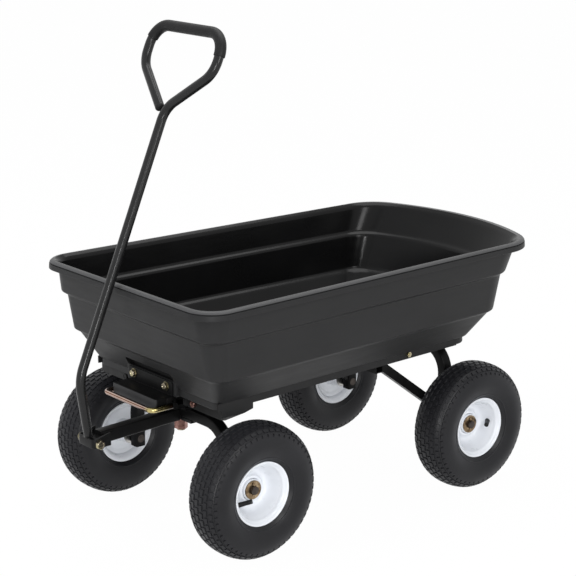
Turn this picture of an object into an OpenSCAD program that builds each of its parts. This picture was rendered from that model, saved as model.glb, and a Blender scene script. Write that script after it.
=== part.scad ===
// Tipping garden dump cart: moulded tub on a steel chassis, pneumatic wheels, folding pull handle.
// Lengths in mm. The handle end is at -Y, the ground is at Z = 0, X = 0 is the middle plane.

/* [Wheels] */
// distance between the front and rear axles
wheelbase = 563; // [550:1:600]
// distance between the wheel mid-planes
track = 436; // [432:1:450]
// tyre outside diameter
tyre_d = 260; // [250:1:263]
// tyre width
tyre_w = 85; // [78:1:90]
// tyre wall thickness
tyre_wall = 7; // [5:0.5:9]
// rim flange diameter
flange_d = 124; // [118:1:128]
// rim width over both flanges
flange_w = 63; // [60:1:66]
// bead seat diameter
seat_d = 102; // [99:1:104]
// rim sheet thickness
rim_t = 2.5; // [2:0.1:3]
// diameter of the flat bottom of the rim dish
dish_d = 82; // [76:1:86]
// wheel disc distance inside the mid-plane
disc_in = 12.5; // [8:0.5:15]
// hub tube diameter
hub_d = 40; // [38:0.5:44]
// hub length
hub_l = 50; // [46:1:52]
// hub end distance outside the mid-plane
hub_out = 1; // [0:0.5:2]
// bearing diameter
bearing_d = 35; // [32:0.5:36]
// bearing width
bearing_w = 11; // [9:0.5:14]
// valve stem diameter
valve_d = 10; // [8:0.5:11]
// valve stem length inside the dish
valve_l = 32.7; // [26:0.1:34]
// valve stem root distance outside the mid-plane
valve_z = 6.4; // [4:0.1:9]
// valve stem length behind the dish wall
valve_root = 6; // [5:0.5:8]
// valve stem lean out of the wheel plane, degrees
valve_lean = 39; // [34:1:44]

/* [Axles] */
// stub axle diameter
axle_d = 16; // [14:0.5:18]
// stub axle end distance outside the wheel mid-plane
axle_out = 9; // [8:0.5:12]
// outer washer diameter
washer_d = 36; // [30:1:38]
// outer washer thickness
washer_t = 2.5; // [2:0.1:3]
// inner spacer diameter
spacer_d = 26; // [22:1:30]
// split pin diameter
pin_d = 2.5; // [2:0.1:3]
// split pin length beyond the axle, each side
pin_reach = 6; // [4:0.5:9]
// split pin distance from the axle end
pin_in = 3.4; // [2.5:0.1:4]

/* [Frame] */
// square tube size of the arches
tube = 22; // [20:0.5:24]
// wall of the square tubes
tube_wall = 2; // [1.5:0.1:3]
// distance of the arch legs inside the wheel mid-planes
leg_gap = 72; // [70:0.5:78]
// middle radius of the arch bends
bend_r = 54; // [50:1:60]
// leg length below the axle
leg_drop = 16; // [12:0.5:20]
// underside of the tub above the axles
deck_rise = 156; // [152:1:170]
// gap between the rear arch and the tub
deck_gap = 1; // [0.5:0.1:1.5]
// spine width
spine_w = 44; // [42:1:50]
// spine height
spine_h = 26; // [24:1:30]
// spine sheet thickness
spine_t = 3; // [2.5:0.1:4]
// spine distance below the tub
spine_gap = 3; // [2.5:0.1:4]
// king plate half width
king_w = 46; // [40:1:50]
// king plate thickness
king_t = 8; // [6:0.5:10]
// king plate reach in front of and behind the kingpin
king_reach = 45.5; // [42:0.5:47]
// cross arm distance behind the middle of the wheelbase
arm_y = 92; // [80:1:100]
// cross arm width
arm_w = 20; // [18:0.5:24]
// cross arm height
arm_h = 22; // [20:0.5:24]
// brace width
brace_w = 15; // [12:0.5:18]
// brace depth
brace_h = 18; // [15:0.5:20]
// brace foot above the axle
brace_rise = 15; // [13:0.5:18]
// rubber pad size
pad_w = 30; // [24:1:36]
// rubber pad distance from the middle of the wheelbase
pad_y = 220; // [180:1:225]

/* [Tub hinge] */
// pivot distance behind the rear axle
hinge_back = 24.5; // [23.5:0.1:27]
// pivot depth below the tub
hinge_drop = 14; // [14:0.1:16]
// pivot bolt diameter
hinge_d = 10; // [8:0.5:11]
// pivot bolt head width over corners
hinge_hex = 18; // [16:0.5:19]
// pivot bolt head height
hinge_head = 6.5; // [5:0.1:8]
// outer radius of the ears and lugs
ear_r = 10.5; // [9:0.1:10.8]
// ear thickness
ear_t = 5; // [4:0.1:6]
// lug width
lug_w = 13.4; // [10:0.1:16]
// lug distance from the middle plane
lug_x = 95; // [85:1:110]
// lug plate thickness
plate_t = 3; // [2.5:0.1:3]
// lug plate half width
plate_w = 17; // [14:1:20]
// lug plate reach behind the pivot
plate_back = 26; // [22:1:27]
// lug plate reach in front of the pivot
plate_front = 11; // [10:0.1:11.5]

/* [Tub] */
// half width of the crest at the middle of the wheelbase
crest_half = 249.8; // [245:0.1:255]
// crest distance in front of the middle of the wheelbase
crest_front = 412.9; // [410:0.1:414]
// crest distance behind the middle of the wheelbase, at the bow
crest_rear = 476.9; // [470:0.1:482]
// loss of half width per length, front to rear
taper_share = 0.0297; // [0.02:0.0001:0.035]
// radius of the rear bow
bow_r = 473; // [460:1:490]
// crest height above the tub underside
crest_h = 212; // [206:1:216]
// crest corner radius at the front
front_r = 49; // [44:1:56]
// crest corner radius at the rear
rear_r = 83; // [76:1:90]
// underside corner radius at the front
base_front_r = 17; // [14:1:22]
// underside corner radius at the rear
base_rear_r = 35; // [30:1:45]
// wall thickness
wall = 4.5; // [4:0.1:5]
// lip overhang outside the crest
lip_out = 8.9; // [8:0.1:9.2]
// lip height
lip_h = 17; // [15:0.5:20]
// lip thickness
lip_t = 4; // [3:0.1:5]
// radius of the lip's rounded edge
lip_r = 8; // [6:0.1:8.5]
// step height of the sloped ledges
step_drop = 6; // [5:0.1:8]
// step depth of the sloped ledges
step_in = 8.5; // [7:0.1:9.5]
// wall under the lip: inset from the crest at the sides
neck_side = 5.3; // [5:0.1:7]
// the same at the front
neck_front = 6; // [5:0.1:8]
// the same at the rear
neck_rear = 27; // [24:0.1:30]
// upper ledge height above the underside
ledge1_h = 149; // [145:1:154]
// upper ledge inset at the sides
ledge1_side = 10; // [9:0.1:12]
// the same at the front
ledge1_front = 13; // [11:0.1:15]
// the same at the rear
ledge1_rear = 40; // [36:0.1:44]
// lower ledge height above the underside
ledge2_h = 71; // [68:1:76]
// lower ledge inset at the sides
ledge2_side = 23.4; // [21:0.1:26]
// the same at the front
ledge2_front = 36; // [33:0.1:39]
// the same at the rear
ledge2_rear = 69; // [64:0.1:74]
// height of the foot above the underside
foot_h = 15; // [13:0.1:17]
// flare bottom inset at the sides
flare_side = 62.8; // [60:0.1:64]
// the same at the front
flare_front = 71; // [69:0.1:72]
// the same at the rear
flare_rear = 124; // [120:0.1:127]
// foot inset at the sides
base_side = 70; // [68:0.1:72]
// the same at the front
base_front = 73; // [72.5:0.1:75]
// the same at the rear
base_rear = 130; // [128:0.1:134]
// floor thickness
floor_t = 4; // [3.5:0.1:4]
// seat for the latch bracket: half width
seat_w = 78; // [76:1:84]
// seat top above the underside
seat_h = 48; // [44:0.5:52]
// seat face in front of the foot
seat_out = 9.1; // [8:0.1:10]
// seat depth behind its face
seat_in = 15; // [13:0.5:17]

/* [Rails] */
// rail sheet thickness
rail_t = 3; // [2.5:0.1:3.5]
// rail rear end behind the middle of the wheelbase
rail_rear = 284; // [270:1:288]
// deep front end: its rear edge in front of the middle of the wheelbase
deep_rear = 256.5; // [250:0.5:262]
// lowest point in front of the middle of the wheelbase
deep_mid = 316; // [312:0.5:320]
// depth of the lowest point below the tub
deep_drop = 24; // [20:0.1:24]
// depth of the rear edge below the tub
deep_lift = 11; // [8:0.1:14]
// chamfer width of the lower outer edge
deep_chamfer = 8; // [6:0.5:12]
// chamfer height
deep_rise = 8; // [6:0.5:10]
// inner end of the block under the tub
block_in = 75; // [70:1:82]
// block front face behind the foot's front face
block_back = 9; // [7:0.1:11]
// bolt position along the rail behind the middle of the wheelbase
bolt_y = 145; // [120:1:170]
// bolt height above the underside of the tub
rail_bolt_h = 9.6; // [9.5:0.1:9.8]
// rail bolt diameter
rail_bolt_d = 6; // [5:0.1:7]
// rail bolt head diameter
rail_head_d = 10.4; // [9.8:0.1:10.6]
// rail bolt head height
rail_head_h = 2.3; // [1.8:0.1:2.4]
// tub wall left behind the sunk head
rail_seat = 2; // [1.8:0.1:2]
// rail nut width over corners
rail_nut_d = 11.6; // [10:0.1:11.8]
// rail nut height
rail_nut_h = 5; // [4:0.1:6]
// rail bolt end beyond the nut
rail_end = 2; // [1:0.1:3]
// small bolt diameter
bolt_d = 8; // [6:0.5:9]
// small bolt head width over corners
bolt_head = 14; // [13:0.5:15.5]
// small bolt head height
bolt_head_h = 5; // [4:0.1:6]
// front bolts: distance from the middle plane
front_bolt_x = 108; // [92:1:120]
// front bolts: depth below the tub
front_bolt_drop = 8; // [7.8:0.1:9.5]
// front bolts: length in the block
front_bolt_l = 14; // [10:0.5:18]

/* [Latch] */
// bracket half width
bracket_w = 70; // [66:0.5:70.4]
// bracket sheet thickness
bracket_t = 3; // [2.5:0.1:3.5]
// bracket top above the underside of the tub
bracket_h = 28; // [25:0.5:30]
// bracket shelf height above the underside of the tub
shelf_h = 2; // [1:0.1:3]
// shelf reach in front of the seat
shelf_reach = 41; // [38:0.5:42]
// shelf lip depth
shelf_lip = 22; // [18:0.5:24]
// ear bottom below the tub
ear_drop = 25; // [23:0.5:27]
// ear reach in front of the shaft
ear_front = 12; // [10:0.5:15]
// ear reach behind the shaft
ear_back = 9; // [8:0.1:10]
// bracket bolts: distance from the middle plane
bracket_bolt_x = 51.5; // [45:0.5:56]
// bracket bolts: height above the underside of the tub
bracket_bolt_h = 17; // [15:0.5:20]
// bracket washer diameter
bracket_washer_d = 18; // [17:0.5:22]
// bracket washer thickness
bracket_washer_t = 1.6; // [1.2:0.1:2]
// latch shaft diameter
shaft_d = 12; // [10:0.5:13]
// latch shaft distance in front of the seat
shaft_out = 3.1; // [2:0.1:4]
// latch shaft depth below the tub
shaft_drop = 15; // [14:0.1:16]
// bail rod diameter
bail_d = 10; // [8:0.5:10]
// bail leg distance from the middle plane
bail_w = 75.7; // [75.6:0.1:78]
// bail reach in front of the shaft
bail_reach = 51.5; // [51:0.5:56]
// bail corner radius
bail_r = 11.5; // [8:0.5:12]
// hook half width
hook_w = 5; // [4:0.1:6]
// hook boss diameter
boss_d = 17; // [16:0.1:18]
// striker diameter
striker_d = 10; // [8:0.5:11]
// striker distance behind the shaft
striker_back = 12; // [11.5:0.1:13]
// striker depth below the shaft
striker_drop = 9; // [8.5:0.1:10]
// striker half length
striker_w = 18; // [16:0.5:20]
// hook arm front and back edges from the shaft
hook_arm = 4; // [3:0.1:5]
// hook lip thickness
hook_lip = 6; // [5:0.1:7]
// free space between hook and striker
hook_gap = 1; // [0.6:0.1:1.5]
// striker ear thickness
striker_ear = 4; // [3:0.1:5]
// striker ear wall round the striker
ear_wall = 3; // [2.5:0.1:3.4]

/* [Steering] */
// kingpin diameter
king_d = 16; // [14:0.5:18]
// kingpin head width over corners
king_head = 25.5; // [25:0.1:28]
// kingpin head height
king_head_h = 10; // [8:0.5:12]
// kingpin nut height
king_nut_h = 18; // [14:0.5:20]
// diameter of the collar on the kingpin nut
king_flange_d = 21; // [20:0.1:21.4]
// height of the collar on the kingpin nut
king_flange_t = 4; // [3:0.1:5]
// kingpin end below the nut
king_end = 3; // [2:0.1:5]
// thrust washer diameter
thrust_d = 40; // [34:1:44]
// thrust washer thickness
thrust_t = 1.7; // [1.5:0.1:2.5]
// head plate half width
head_w = 46; // [40:1:50]
// head plate thickness
head_t = 6; // [5:0.1:7]
// upper head plate reach in front of and behind the kingpin
head_reach = 22; // [20:0.5:26]
// drawbar width
draw_w = 24; // [22:0.5:26]
// drawbar height
draw_h = 24; // [22:0.5:26]
// drawbar top below the arch top
draw_drop = 7; // [5:0.5:8]
// fall of the drawbar from its rear to its front end
draw_fall = 5.5; // [4:0.1:7]
// drawbar front end in front of the front axle
draw_reach = 190; // [184:0.5:190.5]
// diameter of the tube that the handle turns on
sleeve_d = 16; // [14:0.1:16.4]
// tongue between that tube and the drawbar: depth below the pivot
tongue_down = 2; // [1:0.1:2.5]
// tongue top above the pivot
tongue_up = 7; // [4:0.1:7]

/* [Handle] */
// pivot distance in front of the front axle
pivot_reach = 205.5; // [204.5:0.1:209]
// pivot depth below the drawbar middle
pivot_drop = 10; // [8:0.5:12]
// handle tube diameter
handle_d = 18; // [17:0.1:18]
// handle tube wall
handle_wall = 1.8; // [1.5:0.1:2.5]
// handle tube foot in front of the pivot
tail_out = 5.5; // [4:0.1:6.5]
// bend in front of the pivot
knee_out = 22.1; // [20:0.1:23]
// bend height above the pivot
knee_h = 121.5; // [118:0.5:124]
// shaft lean backward, degrees
shaft_lean = 23.07; // [22:0.01:23.2]
// radius of the bend
knee_r = 90; // [80:1:100]
// bend to loop length
shaft_l = 519; // [500:1:530]
// loop half width
loop_w = 106; // [95:1:115]
// loop rise of the slanted parts
loop_rise = 78; // [70:1:86]
// loop rise of the straight legs
loop_leg = 74; // [70:1:85]
// radius of the loop corners
loop_r = 28; // [25:0.5:30]
// radius of the slanted parts' bends
slant_r = 40; // [34:1:44]
// open tube end distance from the middle plane
open_x = 16; // [14:0.5:22]
// grip wall
grip_t = 1.6; // [1.2:0.1:3]
// grip length along the right leg
grip_right = 10; // [6:0.5:14]
// grip length along the left leg
grip_left = 1; // [0.6:0.1:4]
// pivot bolt diameter
pivot_d = 10; // [8:0.5:10.5]
// clevis half width outside
clevis_w = 27; // [25:0.5:30]
// clevis sheet thickness
clevis_t = 4; // [3:0.1:4.2]
// clevis front face in front of the pivot
clevis_front = 12.8; // [12.7:0.1:13.5]
// clevis arm reach behind the pivot
clevis_back = 25.5; // [20:0.5:27]
// clevis bottom below the pivot
clevis_down = 7.5; // [7:0.1:8]
// clevis top above the pivot, under the handle tube
clevis_up = 10; // [9:0.1:11]
// rise of the arms from front to back
clevis_rise = 7.5; // [5:0.1:9]
// pivot bolt head width over corners
pivot_head = 18.5; // [16:0.5:20]
// pivot bolt head height
pivot_head_h = 7; // [5:0.1:8]
// pivot bolt end beyond the nut
pivot_end = 2; // [1:0.1:4]

/* [Fits] */
// running clearance round pins, on the radius
run_gap = 0.05; // [0.02:0.01:0.1]
// gap between moving faces
face_gap = 0.3; // [0.3:0.05:0.5]
// gap between rail top and tub
rail_gap = 0.5; // [0.3:0.1:1]
// gap between grip and tube
grip_gap = 0.1; // [0.05:0.01:0.2]
// overrun of cuts
over = 1; // [0.5:0.1:2]

/* [Hidden] */
$fn = 48;
arc_n = 6;
ring_n = 7;
side_n = 20;
bend_step = 12;
plug_share = 0.5;
axle_z = tyre_d / 2;
front_y = -wheelbase / 2;
rear_y = wheelbase / 2;
base_z = axle_z + deck_rise;
crest_z = base_z + crest_h;
spine_top = base_z - spine_gap;
spine_low = spine_top - spine_h;
king_z = spine_low - king_t;
thrust_z = king_z - face_gap - thrust_t;
arch_top = thrust_z - head_t;
arch_low = arch_top - tube;
rear_top = base_z - deck_gap;
leg_x = track / 2 - leg_gap;
leg_in = leg_x - tube / 2;
leg_out = leg_x + tube / 2;
axle_end = track / 2 + axle_out;
hub_end = track / 2 + hub_out;
hub_start = hub_end - hub_l;
hinge_y = rear_y + hinge_back;
hinge_z = base_z - hinge_drop;
arm_back = arm_y + arm_w / 2;
arm_mid = spine_top - arm_h / 2;
foot_y = -(crest_front - base_front);
pad_face = foot_y - seat_out;
shaft_y = pad_face - shaft_out;
shaft_z = base_z - shaft_drop;
striker_y = shaft_y + striker_back;
striker_z = shaft_z - striker_drop;
draw_top = arch_top - draw_drop;
draw_end = front_y - draw_reach;
pivot_y = front_y - pivot_reach;
pivot_z = draw_top - draw_h / 2 - pivot_drop;
draw_start = front_y - tube / 2;
knee_y = pivot_y - knee_out;
knee_z = pivot_z + knee_h;
tail_z = pivot_z + clevis_up;
shank_lean = atan((knee_out - tail_out) / (knee_h - clevis_up));
knee_half = (shank_lean + shaft_lean) / 2;
knee_turn = (shaft_lean - shank_lean) / 2;
// foremost point of the bent handle and rearmost point of the lip give the middle of the length
fore = knee_y + knee_r / cos(knee_half) * cos(knee_turn) - knee_r - handle_d / 2;
aft = crest_rear + lip_out;
shift_y = -(fore + aft) / 2;
steel = [0.13, 0.13, 0.14];
plastic = [0.2, 0.2, 0.2];
zinc = [0.8, 0.7, 0.4];
white = [0.92, 0.92, 0.94];
rubber = [0.1, 0.1, 0.1];

module place() {
  translate([0, shift_y, 0]) children();
}

module mirrored() {
  children();
  mirror([1, 0, 0]) children();
}

// box from its low and high corners
module block(a, b) {
  translate(a) cube(b - a);
}

// rod along X from a to b
module rod(a, b, y, z, d) {
  translate([a, y, z]) rotate([0, 90, 0]) cylinder(d = d, h = b - a);
}

// hexagon rod along X
module hex(a, b, y, z, d) {
  translate([a, y, z]) rotate([0, 90, 0]) cylinder(d = d, h = b - a, $fn = 6);
}

// outline in the YZ plane, w thick across the middle plane
module along_x(w) {
  translate([-w / 2, 0, 0]) rotate([90, 0, 90]) linear_extrude(w) children();
}

// rod along Y from a to b
module rod_y(x, a, b, z, d, n = $fn) {
  translate([x, b, z]) rotate([90, 0, 0]) cylinder(d = d, h = b - a, $fn = n);
}

module square_ring(s, w) {
  difference() {
    square([s, s], center = true);
    square([s - 2 * w, s - 2 * w], center = true);
  }
}

module round_ring(a, b) {
  difference() {
    circle(d = a);
    circle(d = b);
  }
}

// bent square tube in the XZ plane
module arch(y, top) {
  mid = top - tube / 2;
  bend_x = leg_x - bend_r;
  bend_z = mid - bend_r;
  translate([-bend_x, y, mid]) rotate([0, 90, 0])
    linear_extrude(2 * bend_x) square_ring(tube, tube_wall);
  mirrored() {
    translate([bend_x, y, bend_z]) rotate([90, 0, 0])
      rotate_extrude(angle = 90) translate([bend_r, 0]) square_ring(tube, tube_wall);
    translate([leg_x, y, axle_z - leg_drop])
      linear_extrude(bend_z - axle_z + leg_drop) square_ring(tube, tube_wall);
  }
}

module arch_with_bores(y, top) {
  difference() {
    arch(y, top);
    rod(-leg_out - over, leg_out + over, y, axle_z, axle_d);
  }
}

module stubs(y) {
  mirrored() difference() {
    rod(leg_in, axle_end, y, axle_z, axle_d);
    translate([axle_end - pin_in, y, axle_z]) cylinder(d = pin_d, h = axle_d + over, center = true);
  }
}

module axle_washers(y) {
  mirrored() {
    difference() {
      rod(leg_out, hub_start - face_gap, y, axle_z, spacer_d);
      rod(leg_out - over, hub_start, y, axle_z, axle_d);
    }
    difference() {
      rod(hub_end + face_gap, hub_end + face_gap + washer_t, y, axle_z, washer_d);
      rod(hub_end, hub_end + face_gap + washer_t + over, y, axle_z, axle_d);
    }
  }
}

module split_pins(y) {
  mirrored() translate([axle_end - pin_in, y, axle_z])
    cylinder(d = pin_d, h = axle_d + 2 * pin_reach, center = true);
}

// wheel parts lie about the Z axis, the outside of the wheel towards +Z
module at_wheel(side, y) {
  place() translate([side * track / 2, y, axle_z]) rotate([0, side * 90, 0]) children();
}

flange_r = flange_d / 2;
seat_r = seat_d / 2;
tyre_r = tyre_d / 2;
bell_r = flange_r - seat_r + rim_t;
bell_z = flange_w / 2 - bell_r;
// quarter round of the flange, r is its radius
function bell(r) = [for (i = [0:arc_n]) let (a = 90 * i / arc_n)
  [flange_r - r * cos(a), bell_z + r * sin(a)]];
function flip(p) = [for (i = [len(p) - 1:-1:0]) [p[i][0], -p[i][1]]];
function back(p) = [for (i = [len(p) - 1:-1:0]) p[i]];

// tyre outline: shares of the half width and of the height above the bead seat
tyre_shares = [[0.84, 0.24], [0.93, 0.34], [1, 0.5], [0.97, 0.67],
  [0.83, 0.835], [0.57, 0.945], [0.24, 0.993]];
function side_line(w, h) = [for (s = tyre_shares) [seat_r + s[1] * h, s[0] * w]];

module tyre_shape() {
  bead = bell_r - rim_t;
  outer = side_line(tyre_w / 2, tyre_r - seat_r);
  inner = side_line(tyre_w / 2 - tyre_wall, tyre_r - seat_r - tyre_wall);
  toe = bell_z - tyre_wall / 2;
  half = concat(bell(bead), outer, [[tyre_r, 0]]);
  hollow = concat([[seat_r, toe]], inner);
  rotate_extrude() polygon(concat(half, flip(concat(bell(bead), outer)), flip([[seat_r, toe]]),
    flip(back(concat(inner, [[tyre_r - tyre_wall, 0]]))), back(hollow)));
}

module valve_shape() {
  translate([seat_r - rim_t, 0, valve_z]) rotate([0, valve_lean - 90, 0])
    translate([0, 0, -valve_root]) cylinder(d = valve_d, h = valve_l + valve_root);
}

module rim_shape() {
  low = -disc_in;
  rise = rim_t;
  outer = concat([[hub_d / 2, low + rise], [dish_d / 2, low + rise]], bell(bell_r));
  outer_back = back(bell(bell_r - rim_t));
  neck = [[dish_d / 2 + rim_t, low + rise / 2]];
  inner_back = flip(outer_back);
  inner = flip(concat([[hub_d / 2, -low + rise], [dish_d / 2, -low + rise]], bell(bell_r)));
  difference() {
    union() {
      rotate_extrude() polygon(concat(outer, outer_back, neck, inner_back, inner));
      difference() {
        translate([0, 0, hub_out - hub_l]) cylinder(d = hub_d, h = hub_l);
        translate([0, 0, hub_out - hub_l - over]) cylinder(d = bearing_d, h = hub_l + 2 * over);
      }
    }
    valve_shape();
  }
}

module bearing_shape() {
  for (z = [hub_out - bearing_w, hub_out - hub_l]) translate([0, 0, z]) difference() {
    cylinder(d = bearing_d, h = bearing_w);
    translate([0, 0, -over]) cylinder(d = axle_d + 2 * run_gap, h = bearing_w + 2 * over);
  }
}

// turn of each wheel about its axle, degrees, only the valve shows it
turn_front = 293;
turn_rear = 88;

module tyre_front_left() { color(rubber) at_wheel(-1, front_y) tyre_shape(); }
module tyre_front_right() { color(rubber) at_wheel(1, front_y) tyre_shape(); }
module tyre_rear_left() { color(rubber) at_wheel(-1, rear_y) tyre_shape(); }
module tyre_rear_right() { color(rubber) at_wheel(1, rear_y) tyre_shape(); }
module rim_front_left() { color(white) at_wheel(-1, front_y) rotate([0, 0, turn_rear]) rim_shape(); }
module rim_front_right() { color(white) at_wheel(1, front_y) rotate([0, 0, turn_front]) rim_shape(); }
module rim_rear_left() { color(white) at_wheel(-1, rear_y) rotate([0, 0, turn_front]) rim_shape(); }
module rim_rear_right() { color(white) at_wheel(1, rear_y) rotate([0, 0, turn_rear]) rim_shape(); }
module bearings_front_left() { color(zinc) at_wheel(-1, front_y) bearing_shape(); }
module bearings_front_right() { color(zinc) at_wheel(1, front_y) bearing_shape(); }
module bearings_rear_left() { color(zinc) at_wheel(-1, rear_y) bearing_shape(); }
module bearings_rear_right() { color(zinc) at_wheel(1, rear_y) bearing_shape(); }
module valve_front_left() { color(rubber) at_wheel(-1, front_y) rotate([0, 0, turn_rear]) valve_shape(); }
module valve_front_right() { color(rubber) at_wheel(1, front_y) rotate([0, 0, turn_front]) valve_shape(); }
module valve_rear_left() { color(rubber) at_wheel(-1, rear_y) rotate([0, 0, turn_front]) valve_shape(); }
module valve_rear_right() { color(rubber) at_wheel(1, rear_y) rotate([0, 0, turn_rear]) valve_shape(); }

// channel open below, with the two front ears that hold the striker
module spine() {
  start = front_y - king_reach;
  end = rear_y - tube / 2;
  color(steel) place() difference() {
    union() {
      difference() {
        block([-spine_w / 2, start, spine_low], [spine_w / 2, end, spine_top]);
        block([-spine_w / 2 + spine_t, start - over, spine_low - over],
              [spine_w / 2 - spine_t, end + over, spine_top - spine_t]);
      }
      mirrored() {
        rod(striker_w - striker_ear, striker_w, striker_y, striker_z, striker_d + 2 * ear_wall);
        block([striker_w - striker_ear, striker_y, striker_z - striker_d / 2 - ear_wall],
              [striker_w, start + king_reach / 2, spine_top - spine_t]);
      }
    }
    rod(-spine_w, spine_w, striker_y, striker_z, striker_d);
    block([-spine_w, start, spine_low - king_t - over], [spine_w, start + king_reach, spine_low]);
  }
}

module striker() {
  color(steel) place() rod(-striker_w, striker_w, striker_y, striker_z, striker_d);
}

module king_plate() {
  color(steel) place() difference() {
    block([-king_w, front_y - king_reach, king_z], [king_w, front_y + king_reach, spine_low]);
    translate([0, front_y, king_z - over]) cylinder(d = king_d, h = king_t + 2 * over);
  }
}

module cross_arms() {
  color(steel) place() mirrored() difference() {
    block([spine_w / 2, arm_y - arm_w / 2, spine_top - arm_h], [leg_x + brace_w / 2, arm_back, spine_top]);
    block([spine_w / 2 - over, arm_y - arm_w / 2 + tube_wall, spine_top - arm_h + tube_wall],
          [leg_x + brace_w / 2 + over, arm_back - tube_wall, spine_top - tube_wall]);
  }
}

module rear_arch() {
  color(steel) place() arch_with_bores(rear_y, rear_top);
}

module rear_stubs() {
  color(steel) place() stubs(rear_y);
}

// slanted struts between the arch legs and the cross arms
module braces() {
  foot = [rear_y - tube / 2, axle_z + brace_rise];
  head = [arm_back, arm_mid];
  slope = (head - foot) / norm(head - foot);
  tall = brace_h / 2 / slope[0];
  hole = (brace_h / 2 - tube_wall) / slope[0];
  far = slope * over;
  color(steel) place() mirrored() translate([leg_x - brace_w / 2, 0, 0]) rotate([90, 0, 90]) difference() {
    linear_extrude(brace_w) polygon([foot + [0, tall], foot - [0, tall], head - [0, tall], head + [0, tall]]);
    translate([0, 0, tube_wall]) linear_extrude(brace_w - 2 * tube_wall)
      polygon([foot - far + [0, hole], foot - far - [0, hole],
        head + far - [0, hole], head + far + [0, hole]]);
  }
}

module hinge_ears() {
  face = rear_y + tube / 2;
  inner = lug_x - lug_w / 2 - face_gap;
  outer = lug_x + lug_w / 2 + face_gap;
  color(steel) place() mirrored() for (x = [inner - ear_t, outer]) difference() {
    union() {
      rod(x, x + ear_t, hinge_y, hinge_z, 2 * ear_r);
      block([x, face, hinge_z - ear_r], [x + ear_t, hinge_y, hinge_z + ear_r]);
    }
    rod(x - over, x + ear_t + over, hinge_y, hinge_z, hinge_d);
  }
}

hinge_span = lug_w / 2 + face_gap + ear_t;

module hinge_bolts() {
  color(zinc) place() mirrored() {
    rod(lug_x - hinge_span - 2 * hinge_head, lug_x + hinge_span, hinge_y, hinge_z, hinge_d);
    hex(lug_x + hinge_span, lug_x + hinge_span + hinge_head, hinge_y, hinge_z, hinge_hex);
  }
}

module hinge_nuts() {
  color(zinc) place() mirrored() difference() {
    hex(lug_x - hinge_span - hinge_head, lug_x - hinge_span, hinge_y, hinge_z, hinge_hex);
    rod(lug_x - hinge_span - hinge_head - over, lug_x - hinge_span + over, hinge_y, hinge_z, hinge_d);
  }
}

module bumpers() {
  color(rubber) place() for (y = [-pad_y, pad_y])
    block([-pad_w / 2, y - pad_w / 2, spine_top], [pad_w / 2, y + pad_w / 2, base_z - face_gap]);
}

nut_top = arch_low - head_t - face_gap;
nut_low = nut_top - king_flange_t - king_nut_h;

module kingpin() {
  color(zinc) place() translate([0, front_y, 0]) {
    translate([0, 0, nut_low - king_end]) cylinder(d = king_d, h = spine_low - nut_low + king_end);
    translate([0, 0, spine_low]) cylinder(d = king_head, h = king_head_h, $fn = 6);
  }
}

module kingpin_nut() {
  color(zinc) place() translate([0, front_y, 0]) difference() {
    union() {
      translate([0, 0, nut_low]) cylinder(d = king_head, h = king_nut_h, $fn = 6);
      translate([0, 0, nut_top - king_flange_t]) cylinder(d = king_flange_d, h = king_flange_t);
    }
    translate([0, 0, nut_low - over]) cylinder(d = king_d, h = nut_top - nut_low + 2 * over);
  }
}

module rear_washers() { color(zinc) place() axle_washers(rear_y); }
module rear_split_pins() { color(zinc) place() split_pins(rear_y); }

// half of the tub's plan, from the front edge round to the rear bow's apex
function half_plan(w, f, b, rf, rr) =
  let (t = taper_share, s = sqrt(1 + t * t), a0 = atan(t), fy = f + rf, fx = w - t * fy - rf * s,
       y0 = b - bow_r, c = w - rr * s, qa = 1 + t * t, qb = -2 * c * t - 2 * y0,
       qc = c * c + y0 * y0 - (bow_r - rr) * (bow_r - rr),
       cy = (-qb + sqrt(qb * qb - 4 * qa * qc)) / (2 * qa), cx = c - t * cy, phi = atan2(cy - y0, cx))
  concat([for (i = [0:ring_n]) let (a = -90 + (a0 + 90) * i / ring_n) [fx + rf * cos(a), fy + rf * sin(a)]],
         [for (i = [0:ring_n]) let (a = a0 + (phi - a0) * i / ring_n) [cx + rr * cos(a), cy + rr * sin(a)]],
         [for (i = [1:ring_n]) let (a = phi + (90 - phi) * i / ring_n)
           [bow_r * cos(a), y0 + bow_r * sin(a)]]);

function corner_r(z, low, high) = low + (high - low) * min(1, (z - base_z) / crest_h);

// closed ring of points: height, insets at side, front and rear, loss of corner radius
function tub_ring(z, side, front, rear, less) =
  let (h = half_plan(crest_half - side, front - crest_front, crest_rear - rear,
                     corner_r(z, base_front_r, front_r) - less, corner_r(z, base_rear_r, rear_r) - less))
  concat([for (p = h) [p[0], p[1], z]], [for (i = [len(h) - 2:-1:0]) [-h[i][0], h[i][1], z]]);

function ring_in(z, side, front, rear, d, less) = tub_ring(z, side + d, front + d, rear + d, less);

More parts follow.
